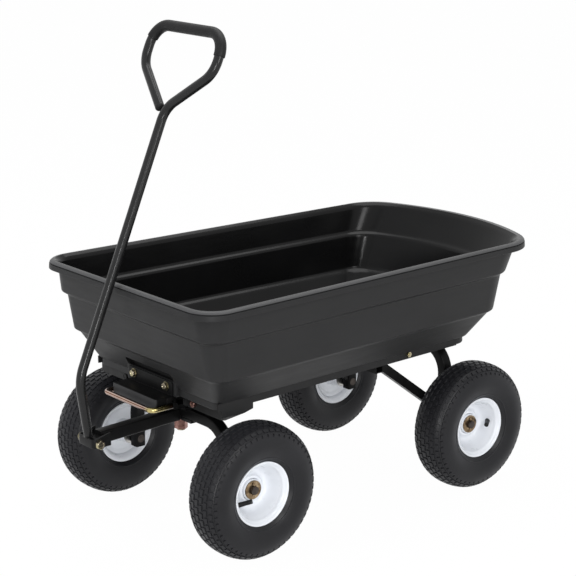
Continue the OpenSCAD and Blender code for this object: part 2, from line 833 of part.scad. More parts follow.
lip_low = crest_z - lip_h;
lip_mid = crest_z - lip_r;
lip_under = lip_mid - lip_t / 2;
ledge1_z = base_z + ledge1_h;
ledge2_z = base_z + ledge2_h;
foot_z = base_z + foot_h;
lip_rounds = [for (a = [30, 60, 90]) [lip_out * cos(a), lip_mid + lip_r * sin(a)]];
brim = lip_out - lip_t;
tub_rings = concat([
  tub_ring(base_z, base_side, base_front, base_rear, 0),
  tub_ring(foot_z, base_side, base_front, base_rear, 0),
  tub_ring(foot_z, flare_side, flare_front, flare_rear, 0),
  ring_in(ledge2_z - step_drop, ledge2_side, ledge2_front, ledge2_rear, step_in, 0),
  tub_ring(ledge2_z, ledge2_side, ledge2_front, ledge2_rear, 0),
  ring_in(ledge1_z - step_drop, ledge1_side, ledge1_front, ledge1_rear, step_in, 0),
  tub_ring(ledge1_z, ledge1_side, ledge1_front, ledge1_rear, 0),
  tub_ring(lip_under, neck_side, neck_front, neck_rear, 0),
  ring_in(lip_under, 0, 0, 0, -brim, -brim),
  ring_in(lip_low, 0, 0, 0, -brim, -brim),
  ring_in(lip_low, 0, 0, 0, -lip_out, -lip_out),
  ring_in(lip_mid, 0, 0, 0, -lip_out, -lip_out)],
  [for (p = lip_rounds) ring_in(p[1], 0, 0, 0, -p[0], -p[0])],
  [ring_in(lip_mid + lip_t / 2, neck_side, neck_front, neck_rear, wall, wall),
  ring_in(ledge1_z + wall, ledge1_side, ledge1_front, ledge1_rear, wall, wall),
  ring_in(ledge1_z + wall - step_drop, ledge1_side, ledge1_front, ledge1_rear, step_in + wall, wall),
  ring_in(ledge2_z + wall, ledge2_side, ledge2_front, ledge2_rear, wall, wall),
  ring_in(ledge2_z + wall - step_drop, ledge2_side, ledge2_front, ledge2_rear, step_in + wall, wall),
  ring_in(foot_z + wall, flare_side, flare_front, flare_rear, wall, wall),
  ring_in(base_z + floor_t, base_side, base_front, base_rear, wall, wall)]);

module tub_skin() {
  n = len(tub_rings[0]);
  m = len(tub_rings);
  sides = [for (j = [0:m - 2]) for (i = [0:n - 1]) let (k = (i + 1) % n)
    for (f = [[j * n + i, (j + 1) * n + i, (j + 1) * n + k], [j * n + i, (j + 1) * n + k, j * n + k]]) f];
  low = [for (i = [0:n - 1]) i];
  top = [for (i = [n - 1:-1:0]) (m - 1) * n + i];
  polyhedron(points = [for (r = tub_rings) for (p = r) p],
    faces = concat(sides, [low], [top]), convexity = 6);
}

function tub_side(y) = crest_half - base_side - taper_share * y;
rail_bolt_z = base_z + rail_bolt_h;
nut_seat = pad_face + seat_in;

module tub() {
  color(plastic) place() difference() {
    union() {
      tub_skin();
      block([-seat_w, pad_face, base_z], [seat_w, nut_seat, base_z + seat_h]);
    }
    block([-seat_w + wall, pad_face - crest_front, base_z - over],
          [seat_w - wall, pad_face, base_z + seat_h - wall]);
    for (x = [-bracket_bolt_x, bracket_bolt_x])
      rod_y(x, pad_face - over, nut_seat + over, base_z + bracket_bolt_h, bolt_d);
    mirrored() at_rail() {
      translate([0, 0, -wall - over]) cylinder(d = rail_bolt_d, h = wall + 2 * over);
      translate([0, 0, -wall - over]) cylinder(d = rail_head_d + 2 * face_gap, h = wall + over - rail_seat);
    }
  }
}

// plan strip along the tub's foot between two distances from it
module strip(a, b, in, out) {
  polygon([[tub_side(a) + in, a], [tub_side(a) + out, a], [tub_side(b) + out, b], [tub_side(b) + in, b]]);
}

module rail_right_shape() {
  low = base_z - deep_drop;
  top = foot_z - rail_gap;
  deep = -deep_mid;
  rear = -deep_rear;
  edge = tub_side(rear) + rail_t;
  difference() {
    union() {
      translate([0, 0, base_z]) linear_extrude(top - base_z) strip(rear, rail_rear, 0, rail_t);
      intersection() {
        union() {
          rotate([90, 0, 90]) linear_extrude(crest_half) polygon([[foot_y, top], [foot_y, base_z],
            [foot_y + block_back, base_z], [foot_y + block_back, low + deep_lift / 2], [deep, low],
            [rear, base_z - deep_lift], [rear, top]]);
        }
        translate([0, 0, low - over]) linear_extrude(crest_h)
          polygon([[block_in, foot_y], [tub_side(foot_y) + rail_t, foot_y],
                   [tub_side(rear) + rail_t, rear], [block_in, rear]]);
        translate([0, crest_rear, 0]) rotate([90, 0, 0]) linear_extrude(crest_rear + crest_front)
          polygon([[0, low], [edge - deep_chamfer, low],
            [edge + rail_t, low + deep_rise * (1 + rail_t / deep_chamfer)],
                   [edge + 3 * rail_t, crest_z], [0, crest_z]]);
      }
    }
    translate([0, 0, base_z]) linear_extrude(crest_h)
      polygon([[0, foot_y - over], [tub_side(foot_y - over), foot_y - over],
               [tub_side(rail_rear + over), rail_rear + over], [0, rail_rear + over]]);
    at_rail() translate([0, 0, -over]) cylinder(d = rail_bolt_d, h = rail_t + 2 * over);
    rod_y(front_bolt_x, foot_y, foot_y + block_back + front_bolt_l, base_z - front_bolt_drop, bolt_d);
  }
}

module rail_right() { color(steel) place() rail_right_shape(); }
module rail_left() { color(steel) place() mirror([1, 0, 0]) rail_right_shape(); }

// square to the rail's face, at the bolt
module at_rail() {
  translate([tub_side(bolt_y), bolt_y, rail_bolt_z]) rotate([0, 0, atan(taper_share)]) rotate([0, 90, 0])
    rotate([0, 0, 30]) children();
}

module rail_bolts() {
  color(zinc) place() mirrored() at_rail() {
    translate([0, 0, -rail_seat - rail_head_h]) cylinder(d = rail_head_d, h = rail_head_h);
    translate([0, 0, -rail_seat]) cylinder(d = rail_bolt_d, h = rail_seat + rail_t + rail_nut_h + rail_end);
  }
}

module rail_nuts() {
  color(zinc) place() mirrored() at_rail() difference() {
    translate([0, 0, rail_t]) cylinder(d = rail_nut_d, h = rail_nut_h, $fn = 6);
    cylinder(d = rail_bolt_d, h = rail_t + rail_nut_h + over);
  }
}

module gusset_bolts() {
  face = foot_y + block_back;
  z = base_z - front_bolt_drop;
  color(zinc) place() mirrored() {
    rod_y(front_bolt_x, face, face + front_bolt_l, z, bolt_d);
    rod_y(front_bolt_x, face - bolt_head_h, face, z, bolt_head, 6);
  }
}

module hinge_brackets() {
  a = lug_x - lug_w / 2;
  b = lug_x + lug_w / 2;
  color(steel) place() mirrored() difference() {
    union() {
      rod(a, b, hinge_y, hinge_z, 2 * ear_r);
      block([a, hinge_y - ear_r, hinge_z], [b, hinge_y + ear_r, base_z - plate_t]);
      block([lug_x - plate_w, hinge_y - plate_front, base_z - plate_t],
            [lug_x + plate_w, hinge_y + plate_back, base_z]);
    }
    rod(a - over, b + over, hinge_y, hinge_z, hinge_d + 2 * run_gap);
  }
}

module latch_bracket() {
  front = pad_face - shelf_reach;
  shelf = base_z + shelf_h;
  color(steel) place() difference() {
    union() {
      block([-bracket_w, pad_face - bracket_t, shelf - bracket_t], [bracket_w, pad_face, base_z + bracket_h]);
      block([-bracket_w, front, shelf - bracket_t], [bracket_w, pad_face, shelf]);
      block([-bracket_w, front, shelf - shelf_lip], [bracket_w, front + bracket_t, shelf]);
      mirrored() block([bracket_w - bracket_t, shaft_y - ear_front, base_z - ear_drop],
                       [bracket_w, shaft_y + ear_back, shelf - bracket_t]);
    }
    rod(-bracket_w - over, bracket_w + over, shaft_y, shaft_z, shaft_d + 2 * run_gap);
    for (x = [-bracket_bolt_x, bracket_bolt_x])
      rod_y(x, pad_face - bracket_t - over, pad_face + over, base_z + bracket_bolt_h, bolt_d);
  }
}

bracket_bolt_z = base_z + bracket_bolt_h;

module bracket_bolts() {
  face = pad_face - bracket_t - bracket_washer_t;
  color(zinc) place() for (x = [-bracket_bolt_x, bracket_bolt_x]) {
    rod_y(x, face, nut_seat + 2 * bolt_head_h, bracket_bolt_z, bolt_d);
    rod_y(x, face - bolt_head_h, face, bracket_bolt_z, bolt_head, 6);
  }
}

module bracket_washers() {
  face = pad_face - bracket_t;
  color(zinc) place() for (x = [-bracket_bolt_x, bracket_bolt_x]) difference() {
    rod_y(x, face - bracket_washer_t, face, bracket_bolt_z, bracket_washer_d);
    rod_y(x, face - bracket_washer_t - over, face + over, bracket_bolt_z, bolt_d);
  }
}

module bracket_nuts() {
  color(zinc) place() for (x = [-bracket_bolt_x, bracket_bolt_x]) difference() {
    rod_y(x, nut_seat, nut_seat + bolt_head_h, bracket_bolt_z, bolt_head, 6);
    rod_y(x, nut_seat - over, nut_seat + bolt_head_h + over, bracket_bolt_z, bolt_d);
  }
}

shaft_end = bail_w + bail_d / 2;

module latch_shaft() {
  color(zinc) place() rod(-shaft_end, shaft_end, shaft_y, shaft_z, shaft_d);
}

module bail() {
  color(zinc) place() difference() {
    bent([[-bail_w, shaft_y, shaft_z], [-bail_w, shaft_y - bail_reach, shaft_z],
          [bail_w, shaft_y - bail_reach, shaft_z], [bail_w, shaft_y, shaft_z]],
         [0, bail_r, bail_r, 0], bail_d, 0);
    rod(-shaft_end - over, shaft_end + over, shaft_y, shaft_z, shaft_d);
  }
}

module latch_hook() {
  lip_top = striker_z - striker_d / 2 - hook_gap;
  tip = striker_y + hook_arm;
  color(steel) place() difference() {
    union() {
      rod(-hook_w, hook_w, shaft_y, shaft_z, boss_d);
      block([-hook_w, shaft_y - hook_arm, lip_top - hook_lip],
            [hook_w, shaft_y + hook_arm - hook_gap, shaft_z]);
      block([-hook_w, shaft_y - hook_arm, lip_top - hook_lip], [hook_w, tip, lip_top]);
    }
    rod(-hook_w - over, hook_w + over, shaft_y, shaft_z, shaft_d);
    rod(-hook_w - over, hook_w + over, striker_y, striker_z, striker_d + 2 * hook_gap);
  }
}

module front_arch() {
  color(steel) place() difference() {
    arch_with_bores(front_y, arch_top);
    translate([0, front_y, arch_low - over]) cylinder(d = king_d + 2 * run_gap, h = tube + 2 * over);
  }
}

module front_stubs() { color(steel) place() stubs(front_y); }
module front_washers() { color(zinc) place() axle_washers(front_y); }
module front_split_pins() { color(zinc) place() split_pins(front_y); }

module head_plates() {
  color(steel) place() difference() {
    union() {
      block([-head_w, front_y - head_reach, arch_top], [head_w, front_y + head_reach, thrust_z]);
      block([-head_w, front_y - tube / 2, arch_low - head_t], [head_w, front_y + tube / 2, arch_low]);
    }
    translate([0, front_y, arch_low - head_t - over])
      cylinder(d = king_d + 2 * run_gap, h = thrust_z - arch_low + head_t + 2 * over);
  }
}

module thrust_washer() {
  color(zinc) place() translate([0, front_y, thrust_z]) difference() {
    cylinder(d = thrust_d, h = thrust_t);
    translate([0, 0, -over]) cylinder(d = king_d + 2 * run_gap, h = thrust_t + 2 * over);
  }
}

// side outline of the drawbar from a to b, drawn in by its wall
module draw_side(a, b, in) {
  low = draw_top - draw_h + in;
  top = draw_top - in;
  polygon([for (p = [[a, top], [a, low], [b, low], [b, top]])
    [p[0], p[1] - draw_fall * (draw_start - p[0]) / (draw_start - draw_end)]]);
}

module drawbar() {
  wide = draw_w - 2 * tube_wall;
  color(steel) place() difference() {
    along_x(draw_w) draw_side(draw_end, draw_start, 0);
    along_x(wide) draw_side(draw_end - over, draw_start + over, tube_wall);
  }
}

// tube across the drawbar's front end, with the tongue that carries it
module pivot_tube() {
  half = clevis_w - clevis_t - face_gap;
  color(steel) place() difference() {
    union() {
      rod(-half, half, pivot_y, pivot_z, sleeve_d);
      block([-draw_w / 2, pivot_y, pivot_z - tongue_down], [draw_w / 2, draw_end, pivot_z + tongue_up]);
    }
    rod(-half - over, half + over, pivot_y, pivot_z, pivot_d + 2 * run_gap);
  }
}

// bent sheet under the handle tube, with an arm on each side of the pivot tube
module clevis() {
  front = pivot_y - clevis_front;
  back = pivot_y + clevis_back;
  low = pivot_z - clevis_down;
  in = clevis_w - clevis_t;
  color(steel) place() difference() {
    along_x(2 * clevis_w) polygon([[front, low], [back, low], [back, tail_z + clevis_rise],
                                   [front + clevis_t, tail_z], [front, tail_z]]);
    block([-in, front + clevis_t, low - over], [in, back + over, tail_z + clevis_rise + over]);
    rod(-clevis_w - over, clevis_w + over, pivot_y, pivot_z, pivot_d);
  }
}

module handle_bolt() {
  color(zinc) place() {
    rod(-clevis_w - pivot_head_h - pivot_end, clevis_w, pivot_y, pivot_z, pivot_d);
    hex(clevis_w, clevis_w + pivot_head_h, pivot_y, pivot_z, pivot_head);
  }
}

module handle_nut() {
  color(zinc) place() difference() {
    hex(-clevis_w - pivot_head_h, -clevis_w, pivot_y, pivot_z, pivot_head);
    rod(-clevis_w - pivot_head_h - over, -clevis_w + over, pivot_y, pivot_z, pivot_d);
  }
}

function unit(v) = v / norm(v);
function turn_at(v, i) = acos(unit(v[i] - v[i - 1]) * unit(v[i + 1] - v[i]));
function reach_at(v, r, i) = (i == 0 || i == len(v) - 1) ? 0 : r[i] * tan(turn_at(v, i) / 2);

// straight tube from p to q, solid when the inside diameter is zero
module pipe(p, q, a, b) {
  d = q - p;
  l = norm(d);
  translate(p) rotate([0, acos(d[2] / l), atan2(d[1], d[0])]) difference() {
    cylinder(d = a, h = l);
    if (b > 0) translate([0, 0, -over]) cylinder(d = b, h = l + 2 * over);
  }
}

// bend at corner i of the path v
module elbow(v, i, r, a, b) {
  d = unit(v[i] - v[i - 1]);
  e = unit(v[i + 1] - v[i]);
  t = turn_at(v, i);
  n = unit(e - d * (d * e));
  m = cross(d, n);
  p = v[i] - d * (r * tan(t / 2));
  multmatrix([[n[0], m[0], d[0], p[0]], [n[1], m[1], d[1], p[1]], [n[2], m[2], d[2], p[2]], [0, 0, 0, 1]])
    translate([r, 0, 0]) rotate([90, 0, 0]) rotate([0, 0, 180 - t]) rotate_extrude(angle = t)
      translate([r, 0]) if (b > 0) round_ring(a, b); else circle(d = a);
}

// tube along a path with rounded corners
module bent(v, r, a, b) {
  for (i = [0:len(v) - 2]) let (d = unit(v[i + 1] - v[i]))
    pipe(v[i] + d * reach_at(v, r, i), v[i + 1] - d * reach_at(v, r, i + 1), a, b);
  for (i = [1:1:len(v) - 2]) elbow(v, i, r[i], a, b);
}

knee = [0, knee_y, knee_z];
shank_dir = [0, -sin(shank_lean), cos(shank_lean)];
shaft_dir = [0, sin(shaft_lean), cos(shaft_lean)];
fork = knee + shaft_dir * shaft_l;
tail = [0, pivot_y - tail_out, tail_z] - shank_dir * (handle_d / 2);
side_x = [loop_w, 0, 0];
open_end = fork - [open_x, 0, 0];
handle_path = [tail, knee, fork, fork + side_x + shaft_dir * loop_rise,
  fork + side_x + shaft_dir * (loop_rise + loop_leg), fork - side_x + shaft_dir * (loop_rise + loop_leg),
  fork - side_x + shaft_dir * loop_rise, open_end];
handle_r = [0, knee_r, slant_r, slant_r, loop_r, loop_r, slant_r, 0];

// points along a path with rounded corners, each with its direction
function arc_at(v, r, i) =
  let (d = unit(v[i] - v[i - 1]), e = unit(v[i + 1] - v[i]), t = turn_at(v, i), n = unit(e - d * (d * e)),
       c = v[i] - d * reach_at(v, r, i) + n * r[i], k = ceil(t / bend_step))
  [for (j = [0:k]) let (a = t * j / k) [c - n * r[i] * cos(a) + d * r[i] * sin(a), d * cos(a) + n * sin(a)]];
function line_of(v, r) = let (e = len(v) - 1)
  concat([[v[0], unit(v[1] - v[0])]], [for (i = [1:e - 1]) each arc_at(v, r, i)],
    [[v[e], unit(v[e] - v[e - 1])]]);
function frames(q, i, n) = i == len(q) ? [] :
  let (t = q[i][1], m = unit(n - t * (n * t))) concat([[q[i][0], m, cross(t, m)]], frames(q, i + 1, m));
function loops(f, r) = [for (c = f) for (k = [0:side_n - 1]) let (a = 360 * k / side_n)
  c[0] + (c[1] * cos(a) + c[2] * sin(a)) * r];

// bent tube drawn as one skin, start is a direction square to its first length
module swept(v, r, start, a, b) {
  f = frames(line_of(v, r), 0, start);
  m = len(f);
  n = side_n;
  in = m * n;
  outer = [for (j = [0:m - 2]) for (i = [0:n - 1]) let (k = (i + 1) % n)
    [j * n + i, (j + 1) * n + i, (j + 1) * n + k, j * n + k]];
  inner = [for (q = outer) [q[3] + in, q[2] + in, q[1] + in, q[0] + in]];
  first = [for (i = [0:n - 1]) let (k = (i + 1) % n) [i, k, in + k, in + i]];
  last = [for (q = first) let (e = (m - 1) * n) [q[3] + e, q[2] + e, q[1] + e, q[0] + e]];
  quads = concat(outer, inner, first, last);
  polyhedron(points = concat(loops(f, a / 2), loops(f, b / 2)),
    faces = [for (q = quads) for (t = [[q[0], q[1], q[2]], [q[0], q[2], q[3]]]) t], convexity = 8);
}

module handle_tube() {
  color(steel) place() difference() {
    swept(handle_path, handle_r, [1, 0, 0], handle_d, handle_d - 2 * handle_wall);
    block([-handle_d, pivot_y - 2 * handle_d, tail_z - 2 * handle_d], [handle_d, pivot_y + handle_d, tail_z]);
  }
}

module grip() {
  low_right = handle_path[4] - shaft_dir * (loop_r + grip_right);
  low_left = handle_path[5] - shaft_dir * (loop_r + grip_left);
  color(rubber) place() swept([low_right, handle_path[4], handle_path[5], low_left],
    [0, loop_r, loop_r, 0], [1, 0, 0], handle_d + 2 * grip_t, handle_d + 2 * grip_gap);
}

module end_plug() {
  d = unit(handle_path[7] - handle_path[6]);
  bore = handle_d - 2 * handle_wall - 4 * grip_gap;
  color(rubber) place() translate(handle_path[7]) rotate([0, acos(d[2]), atan2(d[1], d[0])]) {
    translate([0, 0, -handle_d]) cylinder(d = bore, h = handle_d);
    rotate_extrude() intersection() {
      scale([1, plug_share]) circle(d = handle_d);
      square([handle_d, handle_d]);
    }
  }
}

spine();
king_plate();
cross_arms();
rear_arch();
rear_stubs();
braces();
hinge_ears();
striker();
kingpin();
kingpin_nut();
hinge_bolts();
hinge_nuts();
bumpers();
rear_washers();
rear_split_pins();
tub();
rail_left();
rail_right();
rail_bolts();
rail_nuts();
gusset_bolts();
hinge_brackets();
latch_bracket();
bracket_bolts();
bracket_washers();
bracket_nuts();
bail();
latch_shaft();
latch_hook();
front_arch();
front_stubs();
head_plates();
thrust_washer();
drawbar();
pivot_tube();
front_washers();
front_split_pins();
handle_tube();
clevis();
handle_bolt();
handle_nut();
grip();
end_plug();
tyre_front_left();
tyre_front_right();
tyre_rear_left();
tyre_rear_right();
rim_front_left();
rim_front_right();
rim_rear_left();
rim_rear_right();
bearings_front_left();
bearings_front_right();
bearings_rear_left();
bearings_rear_right();
valve_front_left();
valve_front_right();
valve_rear_left();
valve_rear_right();
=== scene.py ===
import math

import bmesh
import bpy
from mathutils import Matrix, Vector


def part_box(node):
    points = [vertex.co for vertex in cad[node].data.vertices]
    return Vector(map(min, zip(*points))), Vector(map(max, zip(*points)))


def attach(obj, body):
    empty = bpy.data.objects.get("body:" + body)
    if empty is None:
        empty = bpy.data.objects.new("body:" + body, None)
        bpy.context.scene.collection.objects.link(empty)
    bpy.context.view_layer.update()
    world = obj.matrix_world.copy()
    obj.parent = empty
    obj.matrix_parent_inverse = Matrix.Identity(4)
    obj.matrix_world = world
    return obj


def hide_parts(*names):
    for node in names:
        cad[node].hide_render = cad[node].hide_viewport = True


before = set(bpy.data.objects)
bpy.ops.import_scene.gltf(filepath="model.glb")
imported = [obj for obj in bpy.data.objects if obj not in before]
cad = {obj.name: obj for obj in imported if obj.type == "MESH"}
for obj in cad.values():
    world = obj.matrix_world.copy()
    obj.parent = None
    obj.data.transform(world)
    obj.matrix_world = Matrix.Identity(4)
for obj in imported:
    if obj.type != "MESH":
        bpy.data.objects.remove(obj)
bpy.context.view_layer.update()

# Shapes below are in millimetres from the middle of the wheelbase, handle end at -Y.
# SHIFT moves them into the frame, whose origin is under the middle of the whole length.
MM = 0.001
AXLE_Y = 281.5
BAIL_FRONT = -403.6


def node_box(node):
    """Corners of a CAD node in millimetres of the frame."""
    lo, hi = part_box(node)
    return lo / MM, hi / MM


SHIFT = sum(p.y for p in node_box("front_arch")) / 2 + AXLE_Y


# Shapes

def loft(rings, wrap=False):
    """Quads between rings of as many points each.

    wrap joins the last ring to the first. Without it both ends are closed.
    """
    n, m = len(rings[0]), len(rings)
    verts = [p for ring in rings for p in ring]
    faces = []
    for j in range(m if wrap else m - 1):
        a, b = j * n, (j + 1) % m * n
        for i in range(n):
            k = (i + 1) % n
            faces.append((a + i, a + k, b + k, b + i))
    if not wrap:
        faces.append(tuple(range(n - 1, -1, -1)))
        faces.append(tuple((m - 1) * n + i for i in range(n)))
    return verts, faces


def join(*shapes):
    """Several shapes as one."""
    verts, faces = [], []
    for v, f in shapes:
        start = len(verts)
        verts += v
        faces += [tuple(i + start for i in q) for q in f]
    return verts, faces


def mirror(shape):
    """The shape and its twin on the other side of the middle plane."""
    v, f = shape
    return join(shape, ([(-p[0], p[1], p[2]) for p in v], f))


def fillet(points, radii, steps=8):
    """Path with its inner corners rounded to the radii given."""
    out = [Vector(points[0])]
    for i in range(1, len(points) - 1):
        p, a, b = Vector(points[i]), Vector(points[i - 1]), Vector(points[i + 1])
        d, e = (p - a).normalized(), (b - p).normalized()
        turn = d.angle(e)
        n = (e - d * d.dot(e)).normalized()
        c = p - d * radii[i] * math.tan(turn / 2) + n * radii[i]
        for j in range(steps + 1):
            t = turn * j / steps
            out.append(c - n * radii[i] * math.cos(t) + d * radii[i] * math.sin(t))
    out.append(Vector(points[-1]))
    return out


def sweep(path, section, start, scale=None):
    """Section (u, v) carried along a path.

    start is a direction square to the path's first length, and scale the section's size at each point.
    """
    rings, u = [], Vector(start)
    for i, p in enumerate(path):
        a = path[max(i - 1, 0)]
        b = path[min(i + 1, len(path) - 1)]
        t = (b - a).normalized()
        if 0 < i < len(path) - 1:
            t = ((p - a).normalized() + (b - p).normalized()).normalized()
        u = (u - t * u.dot(t)).normalized()
        w = t.cross(u)
        k = scale[i] if scale else 1
        rings.append([tuple(p + u * s[0] * k + w * s[1] * k) for s in section])
    return loft(rings)


def turns(n):
    """Angles of n points round a circle."""
    return [2 * math.pi * i / n for i in range(n)]


def circle(d, n):
    """Round section of diameter d."""
    return [(d / 2 * math.cos(t), d / 2 * math.sin(t)) for t in turns(n)]


def curve(a, b, c, t):
    """Point at t on the curve from a to c that sets out towards b."""
    return a * (1 - t) ** 2 + b * 2 * t * (1 - t) + c * t * t


def rounded_box(w, h, r, steps=5):
    """Rectangle section with round corners."""
    out = []
    for cx, cy, a0 in ((1, 1, 0), (-1, 1, 90), (-1, -1, 180), (1, -1, 270)):
        for j in range(steps + 1):
            a = math.radians(a0 + 90 * j / steps)
            out.append((cx * (w / 2 - r) + r * math.cos(a), cy * (h / 2 - r) + r * math.sin(a)))
    return out


def round_profile(points, cut, steps=3):
    """Closed outline with each corner softened over a short length."""
    out, n = [], len(points)
    for i in range(n):
        p, a, b = Vector(points[i]), Vector(points[i - 1]), Vector(points[(i + 1) % n])
        q0, q1 = p.lerp(a, min(cut / (a - p).length, 0.45)), p.lerp(b, min(cut / (b - p).length, 0.45))
        out += [tuple(curve(q0, p, q1, j / steps)) for j in range(steps + 1)]
    return out


def square_to(axis):
    """Two directions square to an axis, the first as upright as can be."""
    u = axis.orthogonal()
    if abs(axis.z) < 0.9:
        u = Vector((0, 0, 1)) - axis * axis.z
    u.normalize()
    return u, axis.cross(u)


def lathe(profile, origin, axis, n, wrap=True):
    """Profile (radius, distance along the axis) turned about the axis."""
    o, ax = Vector(origin), Vector(axis).normalized()
    u, w = square_to(ax)
    rings = []
    for r, a in profile:
        rings.append([tuple(o + ax * a + (u * math.cos(t) + w * math.sin(t)) * r) for t in turns(n)])
    return loft(rings, wrap)


def washer(origin, axis, d, bore, t, edge):
    """Flat ring with softened edges, t thick along the axis."""
    ring = round_profile([(bore / 2, 0), (d / 2, 0), (d / 2, t), (bore / 2, t)], edge)
    return lathe(ring, origin, axis, 56)


def hexagon(origin, axis, corners, h, spin, face_in=0.5, bore=0.0):
    """Hexagon head h high with its 30 degree chamfer and dished face; a bore makes it a nut."""
    o, ax = Vector(origin), Vector(axis).normalized()
    u, w = square_to(ax)
    n = 48
    flat = corners / 2 * math.cos(math.pi / 6)
    top = flat * 0.95
    # Reach of the six sides at each angle, and how far the chamfer falls there
    edge = [flat / math.cos((t - spin + math.pi / 6) % (math.pi / 3) - math.pi / 6) for t in turns(n)]
    fall = [(e - top) * math.tan(math.radians(30)) for e in edge]

    def ring(radii, heights):
        return [tuple(o + ax * z + (u * math.cos(t) + w * math.sin(t)) * r)
                for t, r, z in zip(turns(n), radii, heights)]

    def flat_ring(radius, height):
        return ring([radius] * n, [height] * n)

    rings = [flat_ring(top, 0), ring(edge, fall)] if bore else [ring(edge, [0] * n)]
    rings.append(ring([e - 0.12 for e in edge], [h - d - 0.3 for d in fall]))
    rings.append(ring([e - 0.35 for e in edge], [h - d for d in fall]))
    rings.append(flat_ring(top, h))
    if bore:
        rings += [flat_ring(bore / 2 + 0.7, h), flat_ring(bore / 2, h - 0.7), flat_ring(bore / 2, 0)]
    else:
        rings += [flat_ring(top * 0.72, h), flat_ring(top * 0.66, h - face_in)]
    return loft(rings, wrap=bool(bore))


def shank(origin, axis, d, a, b, pitch=1.25, thread_from=None):
    """Bolt shank from a to b with a chamfered end and a run of thread rings."""
    r, chamfer = d / 2, 0.9
    prof = [(r, a)]
    s = a
    if thread_from is not None:
        s = thread_from
        prof.append((r, s))
    while s + pitch < b - 1:
        prof += [(r, s + pitch * 0.15), (r - pitch * 0.42, s + pitch * 0.5), (r, s + pitch * 0.85)]
        s += pitch
    prof += [(r, b - chamfer), (r - chamfer, b)]
    return lathe(prof, origin, axis, 28, wrap=False)


def box_shape(lo, hi, r, axis):
    """Block with its edges along one axis rounded and its end edges softened."""
    i, j = [k for k in range(3) if k != axis]
    size = [hi[k] - lo[k] for k in range(3)]
    mid = [(hi[k] + lo[k]) / 2 for k in range(3)]
    r = min(r, size[i] / 2.05, size[j] / 2.05)
    soft = min(r * 0.6, size[axis] / 4, 0.8)
    rings = []
    for t, less in ((lo[axis], soft), (lo[axis] + soft * 0.3, soft * 0.3), (lo[axis] + soft, 0),
                    (hi[axis] - soft, 0), (hi[axis] - soft * 0.3, soft * 0.3), (hi[axis], soft)):
        ring = []
        for u, v in rounded_box(size[i] - 2 * less, size[j] - 2 * less, max(r - less, 0.05), 4):
            p = [0, 0, 0]
            p[i], p[j], p[axis] = mid[i] + u, mid[j] + v, t
            ring.append(tuple(p))
        rings.append(ring)
    return loft(rings)


def bent_sheet(path, t, low, top_at, r=0.8):
    """Upright sheet t thick along a plan path, from low up to the height top_at gives."""
    rings = []
    for i, p in enumerate(path):
        d = (path[min(i + 1, len(path) - 1)] - path[max(i - 1, 0)]).normalized()
        across = Vector((d.y, -d.x, 0))
        top = top_at(p)
        rings.append([tuple(p + across * u + Vector((0, 0, (low + top) / 2 + v)))
                      for u, v in rounded_box(t, top - low, r, 3)])
    return loft(rings)


def piece(name, shape, body, nodes, mats, sharp=38, pick=None):
    """Adds a mesh in the frame, lets it ride on its body and stand for its nodes.

    Edges that turn more than sharp degrees stay sharp, and pick gives each face its material's number.
    """
    verts, faces = shape
    mesh = bpy.data.meshes.new(name)
    mesh.from_pydata([(p[0] * MM, (p[1] + SHIFT) * MM, p[2] * MM) for p in verts], [], faces)
    bm = bmesh.new()
    bm.from_mesh(mesh)
    bmesh.ops.recalc_face_normals(bm, faces=bm.faces)
    bm.to_mesh(mesh)
    bm.free()
    for m in mats if isinstance(mats, (list, tuple)) else [mats]:
        mesh.materials.append(m)
    if pick:
        for f in mesh.polygons:
            f.material_index = pick(f)
    mesh.shade_smooth()
    mesh.set_sharp_from_angle(angle=math.radians(sharp))
    obj = bpy.data.objects.new(name, mesh)
    bpy.context.scene.collection.objects.link(obj)
    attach(obj, body)
    if nodes:
        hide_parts(*nodes)
    return obj


def dress(node, mat, bevel, segments=2):
    """Keeps a CAD node, with a better material and softened edges."""
    obj = cad[node]
    obj.data.materials.clear()
    obj.data.materials.append(mat)
    mod = obj.modifiers.new("edges", "BEVEL")
    mod.width = bevel * MM
    mod.segments = segments
    mod.limit_method = "ANGLE"
    mod.angle_limit = math.radians(40)


# Materials

